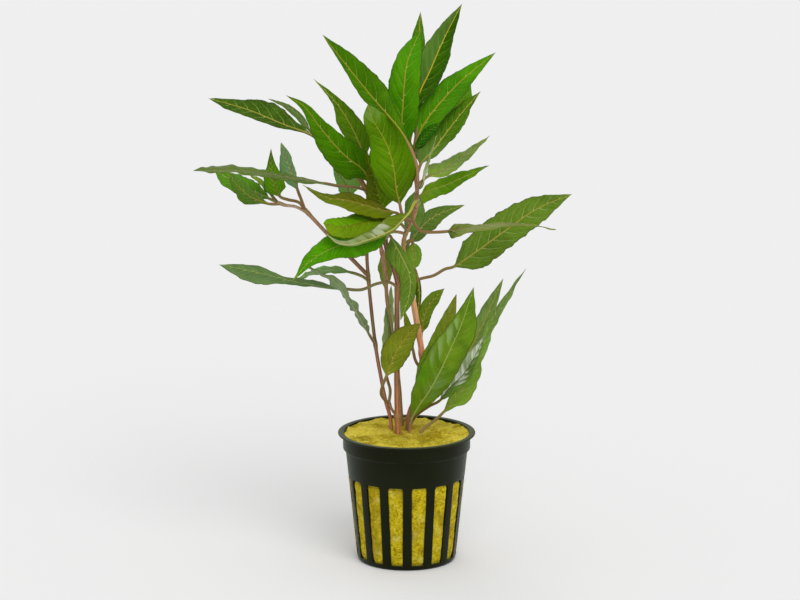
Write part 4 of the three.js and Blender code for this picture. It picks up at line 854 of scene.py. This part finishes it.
def leafMaterial(name, leaf, length, seed):
    # Random patches of painted shade and painted light and the two halves give the skin its tone, then come veins,
    # margin, ticks, midrib and stalk
    look = {**leafFinish, **dict(zip(("under", "rib", "stalkTone"), leafKinds[leaf["kind"]])), **leaf}
    tone = np.array(look["upper"])
    vein = look["vein"] or tone * 0.55 + np.array([184, 200, 100]) * 0.45
    material, tree, shader = newMaterial(name + " skin")
    masks = useGroup(tree, veins, {"Count": float(look["count"]), "Slant": look["slant"], "Bow": look["bow"],
                                   "Length": length, "Rib": look["ribHalf"], "Vein": look["veinHalf"],
                                   "Seed": seed * 0.37})
    along, patches, relief = masks["Along"], masks["Patches"], masks["Relief"]
    # darker random patches: painted shade of the blade's undulation
    shadePatch = patches.ease(0.38, 0.62) * look["shadePatch"]
    upper = blend(shadePatch, tone, tone * [0.74, 0.78, 0.7])
    if look["leftSide"]:
        upper = blend(masks["Left"], upper, blend(shadePatch, look["leftSide"], 0.8 * np.array(look["leftSide"])))
    # lighter random patches: painted light
    upper = blend(patches.ease(0.54, 0.72) * look["paintedGlow"], upper, tone * [1.2, 1.14, 1] + 8)
    # soft spots of painted highlight, and of painted shade where the tone is dark
    for centre, aside, half, halfAside, spotTone, strength in look["paintedSpots"]:
        offAlong, offAcross = (along - centre) / half, (masks["Across"] - aside) / halfAside
        apart = offAlong * offAlong + offAcross * offAcross + (patches + relief * 0.5 - 0.5) * 2.4
        upper = blend(apart.ease(1.0, 0.0) * strength, upper, spotTone)
    for end, low, high in (("foot", 0.5, 0.05), ("tip", 0.45, 0.95)):
        if look[end]:
            upper = blend(along.ease(low, high), upper, look[end])
    lower = blend(shadePatch, look["under"], 0.85 * np.array(look["under"]))
    under = put(tree, "Attribute", output="Fac", attribute_name="underside")
    skin = layered(blend(under.ease(0.35, 0.65), upper, lower), [
        # painted shade on one flank of each bulge between the veins, painted light on the other flank
        (relief.ease(0.0, 0.5, 0.0, 0.14), tone * 0.55),  # one flank of each bulge between the veins
        (relief.ease(0.0, -0.5, 0.0, 0.1), tone * 1.1 + 24),  # the other flank
        (masks["Net"] * 0.14, vein),
        # painted light in the middle of each bulge between the veins
        (masks["Quilt"] * 0.16, tone * 1.15),
        (masks["Veins"] * look["veinStrength"], vein),
        (masks["Edge"] * 0.6, look["edge"]),
        (masks["Ticks"] * look["tickStrength"], (190, 206, 120)),
        (masks["Rib"] * 0.9, look["rib"]),
        (along.ease(0.12, -0.05) * masks["Rib"], look["stalkTone"]),
    ])
    grain = noiseAt(objectPlace(tree), 2600.0, 3.0)
    height = masks["Quilt"] * 0.6 - masks["Net"] * 0.05 + grain * 0.03 + patches * 1.2 + masks["Veins"] * 0.15
    rough = look["roughness"]
    setInputs(shader, {"Base Color": skin, "Roughness": grain.ease(0.3, 0.7, rough - 0.06, rough + 0.1),
                       "Normal": bump(height, 0.5, 0.00035), "Specular IOR Level": 0.2,
                       "Specular Tint": colour((236, 255, 70))})
    return material


def stemMaterial(name, stem):
    # Tones that change with height, streaks along the stem, a painted highlight along the four ridges and greener
    # joints
    material, tree, shader = newMaterial(name + " skin")
    _, turn, joint = put(tree, "Attribute", output="Vector", attribute_name="stemSpot").split()
    spot = objectPlace(tree)
    height = spot.split()[2] * (1 / mm)
    stops = stem["tones"]
    skin = layered(stops[0][1], [(height.ease(low, high), tone) for (low, _), (high, tone) in zip(stops, stops[1:])])
    lengthways = stretch(spot, (1.0, 1.0, 0.12))
    streaks, broad = noiseAt(lengthways, 2400.0, 3.0), noiseAt(lengthways, 420.0)
    skin = layered(skin, [(streaks.ease(0.45, 0.7) * 0.6, blend(1.0, skin, (168, 150, 140), "MULTIPLY")),
                          (broad.ease(0.5, 0.75) * 0.35, (150, 134, 62))])
    # pale along the four ridges: painted highlight
    ridgeHighlight = calc("COSINE", turn * 4.0).ease(0.2, 1.0)
    skin = layered(skin, [(ridgeHighlight * 0.6, blend(0.4, skin, (240, 196, 160))), (joint * 0.35, (126, 120, 52))])
    setInputs(shader, {"Base Color": skin, "Roughness": streaks.ease(0.3, 0.7, 0.34, 0.48),
                       "Normal": bump(streaks, 0.4, 0.0002), "Specular IOR Level": 0.25})
    return material


def potMaterial():
    # Very dark green plastic: fine moulding grain, faint dust and painted light on what faces up, painted shade on
    # what faces down
    material, tree, shader = newMaterial("dark green plastic")
    spot = objectPlace(tree)
    grain, cloud = noiseAt(spot, 1800.0, 4.0), noiseAt(spot, 60.0, 3.0)
    facing = put(tree, "NewGeometry", output="Normal").split()[2]
    skin = layered((7, 10, 1), [
        (cloud.ease(0.35, 0.65), (13, 17, 5)),
        # faint dust and painted light on what faces up
        (facing.ease(0.3, 0.95) * grain.ease(0.3, 0.8, 0.25, 0.6), (86, 94, 52)),
        # painted shade on what faces down
        (facing.ease(-0.2, -0.8, 0.0, 0.85), (2, 3, 1)),
    ])
    setInputs(shader, {"Base Color": skin, "Roughness": grain.ease(0.3, 0.7, 0.36, 0.5),
                       "Normal": bump(grain, 0.25, 0.00012), "Specular IOR Level": 0.16,
                       "Specular Tint": colour((246, 255, 200)), "Sheen Weight": 0.12, "Sheen Roughness": 0.35,
                       "Sheen Tint": colour((190, 220, 170))})
    return material


woolTones = [(138, 116, 2), (196, 176, 16), (230, 216, 84), (226, 214, 128)]


def woolMaterial():
    # Yellow mineral fibre: matted streaks in two directions over broad stains, darker and browner near the stems,
    # bleached in spots, and painted light: lighter on top where it isn't stained
    material, tree, shader = newMaterial("yellow rock wool")
    spot = objectPlace(tree)
    bent = {0: noiseAt(spot, 260.0, output="Color"), 1: (0.004, 0.004, 0.004), 2: spot}
    moved = put(tree, "VectorMath", bent, operation="MULTIPLY_ADD")
    mat = calc("MAXIMUM", noiseAt(stretch(moved, (0.3, 1.0, 1.0), 0.6), 1500.0, 4.0),
               noiseAt(stretch(moved, (1.0, 0.3, 0.6), 0.3), 1300.0, 4.0))
    stain = noiseAt(spot, 110.0, 4.0, Roughness=0.6)
    bleach = noiseAt(moved, 240.0, 4.0)
    x, y, z = spot.split()
    ends = {0: put(tree, "CombineXYZ", {0: x, 1: y}), 1: (0.0, 0.001, 0.0)}
    nearStems = put(tree, "VectorMath", ends, "Value", operation="DISTANCE")
    stemDistance = nearStems + (stain - 0.5) * 0.03
    dark, mid, light, cream = woolTones
    skin = layered(dark, [
        (mat.ease(0.36, 0.58), mid),
        (mat.ease(0.56, 0.78) * 0.9, light),
        (stain.ease(0.48, 0.66) * 0.6, dark),
        # darker and browner near the stems
        (stemDistance.ease(0.016, 0.004, 0.0, 0.45), (122, 100, 8)),
        (bleach.ease(0.52, 0.8) * 0.35, cream),
        # painted light: lighter on the top surface where it isn't stained
        (z.ease(0.047, 0.0495) * stain.ease(0.62, 0.4, 0.02, 0.5), (244, 226, 92)),
    ])
    setInputs(shader, {"Base Color": skin, "Roughness": 0.95, "Normal": bump(mat, 0.6, 0.0006),
                       "Specular IOR Level": 0.15})
    return material


# The plant, put together

stemCurves = {}
for name, stem in stemTable.items():
    stemCurves[name] = Curve([*growsFrom(stem), *stem["points"]])

for number, (name, stem) in enumerate(stemTable.items()):
    place(stemPiece(name, stem, 500 + number), name, "stem", stemMaterial(name, stem))
print("stems done")

for number, (name, leaf) in enumerate(leafTable.items()):
    piece, length = leafPiece(name, leaf, 100 + number)
    place(piece, name, "leaf_" + leaf["kind"], leafMaterial(name, leaf, length, number + 1))
print("leaves done")

place(potPiece(), "pot", "pot_plastic", potMaterial())
wool = woolMaterial()
place(woolPiece(), "rockwool", "rockwool", wool)
for hairs in woolHairs():
    place(hairs, None, "rockwool", wool)
print("pot and wool done")

# Floor, light and camera

stageMake = {
    "floorHalf": 8.0, "floorTone": (243, 243, 243), "speckTone": (230, 230, 230), "sky": 0.62,
    "lamps": {  # energy, spread and the two tilts in degrees
        "front lamp": (1.25, 40.0, 40.0, 16.0),
        "back lamp": (0.3, 40.0, -50.0, -30.0),
    },
    "focus": 141.936, "sensor": 36.0, "reach": 50.0,  # of the camera: mm, mm and m
    "cameraAt": (-0.0026, -1.2, 0.36433), "cameraDip": 0.213494,  # m, and radians that it looks down
}


def buildStage():
    half = stageMake["floorHalf"] / mm
    corners = np.array([[-half, -half, 0], [half, -half, 0], [half, half, 0], [-half, half, 0]])
    floor = meshPiece("floor", corners, [np.array([[0, 1, 2, 3]])], smooth=False)
    material, tree, shader = newMaterial("pale floor")
    speck = noiseAt(objectPlace(tree), 40.0).ease(0.3, 0.7, 0.0, 0.01)
    setInputs(shader, {"Base Color": blend(speck, stageMake["floorTone"], stageMake["speckTone"]),
                       "Roughness": 1.0, "Specular IOR Level": 0.0})
    floor.data.materials.append(material)
    world = bpy.data.worlds.new("studio")
    world.use_nodes = True
    sky = next(node for node in world.node_tree.nodes if node.type == "BACKGROUND")
    setInputs(sky, {"Color": (1, 1, 1, 1), "Strength": stageMake["sky"]})
    bpy.context.scene.world = world
    for name, (energy, spread, tiltBack, tiltAside) in stageMake["lamps"].items():
        light = bpy.data.lights.new(name, "SUN")
        light.energy, light.angle = energy, math.radians(spread)
        linked(name, light).rotation_euler = (math.radians(tiltBack), math.radians(tiltAside), 0)


def buildCamera():
    lens = bpy.data.cameras.new("camera")
    lens.lens, lens.sensor_width, lens.clip_end = stageMake["focus"], stageMake["sensor"], stageMake["reach"]
    camera = linked("camera", lens)
    camera.location = stageMake["cameraAt"]
    camera.rotation_euler = (math.radians(90) - stageMake["cameraDip"], 0, 0)
    bpy.context.scene.camera = camera


buildStage()
buildCamera()
bpy.context.scene.view_settings.view_transform = "Standard"
print("stage done")
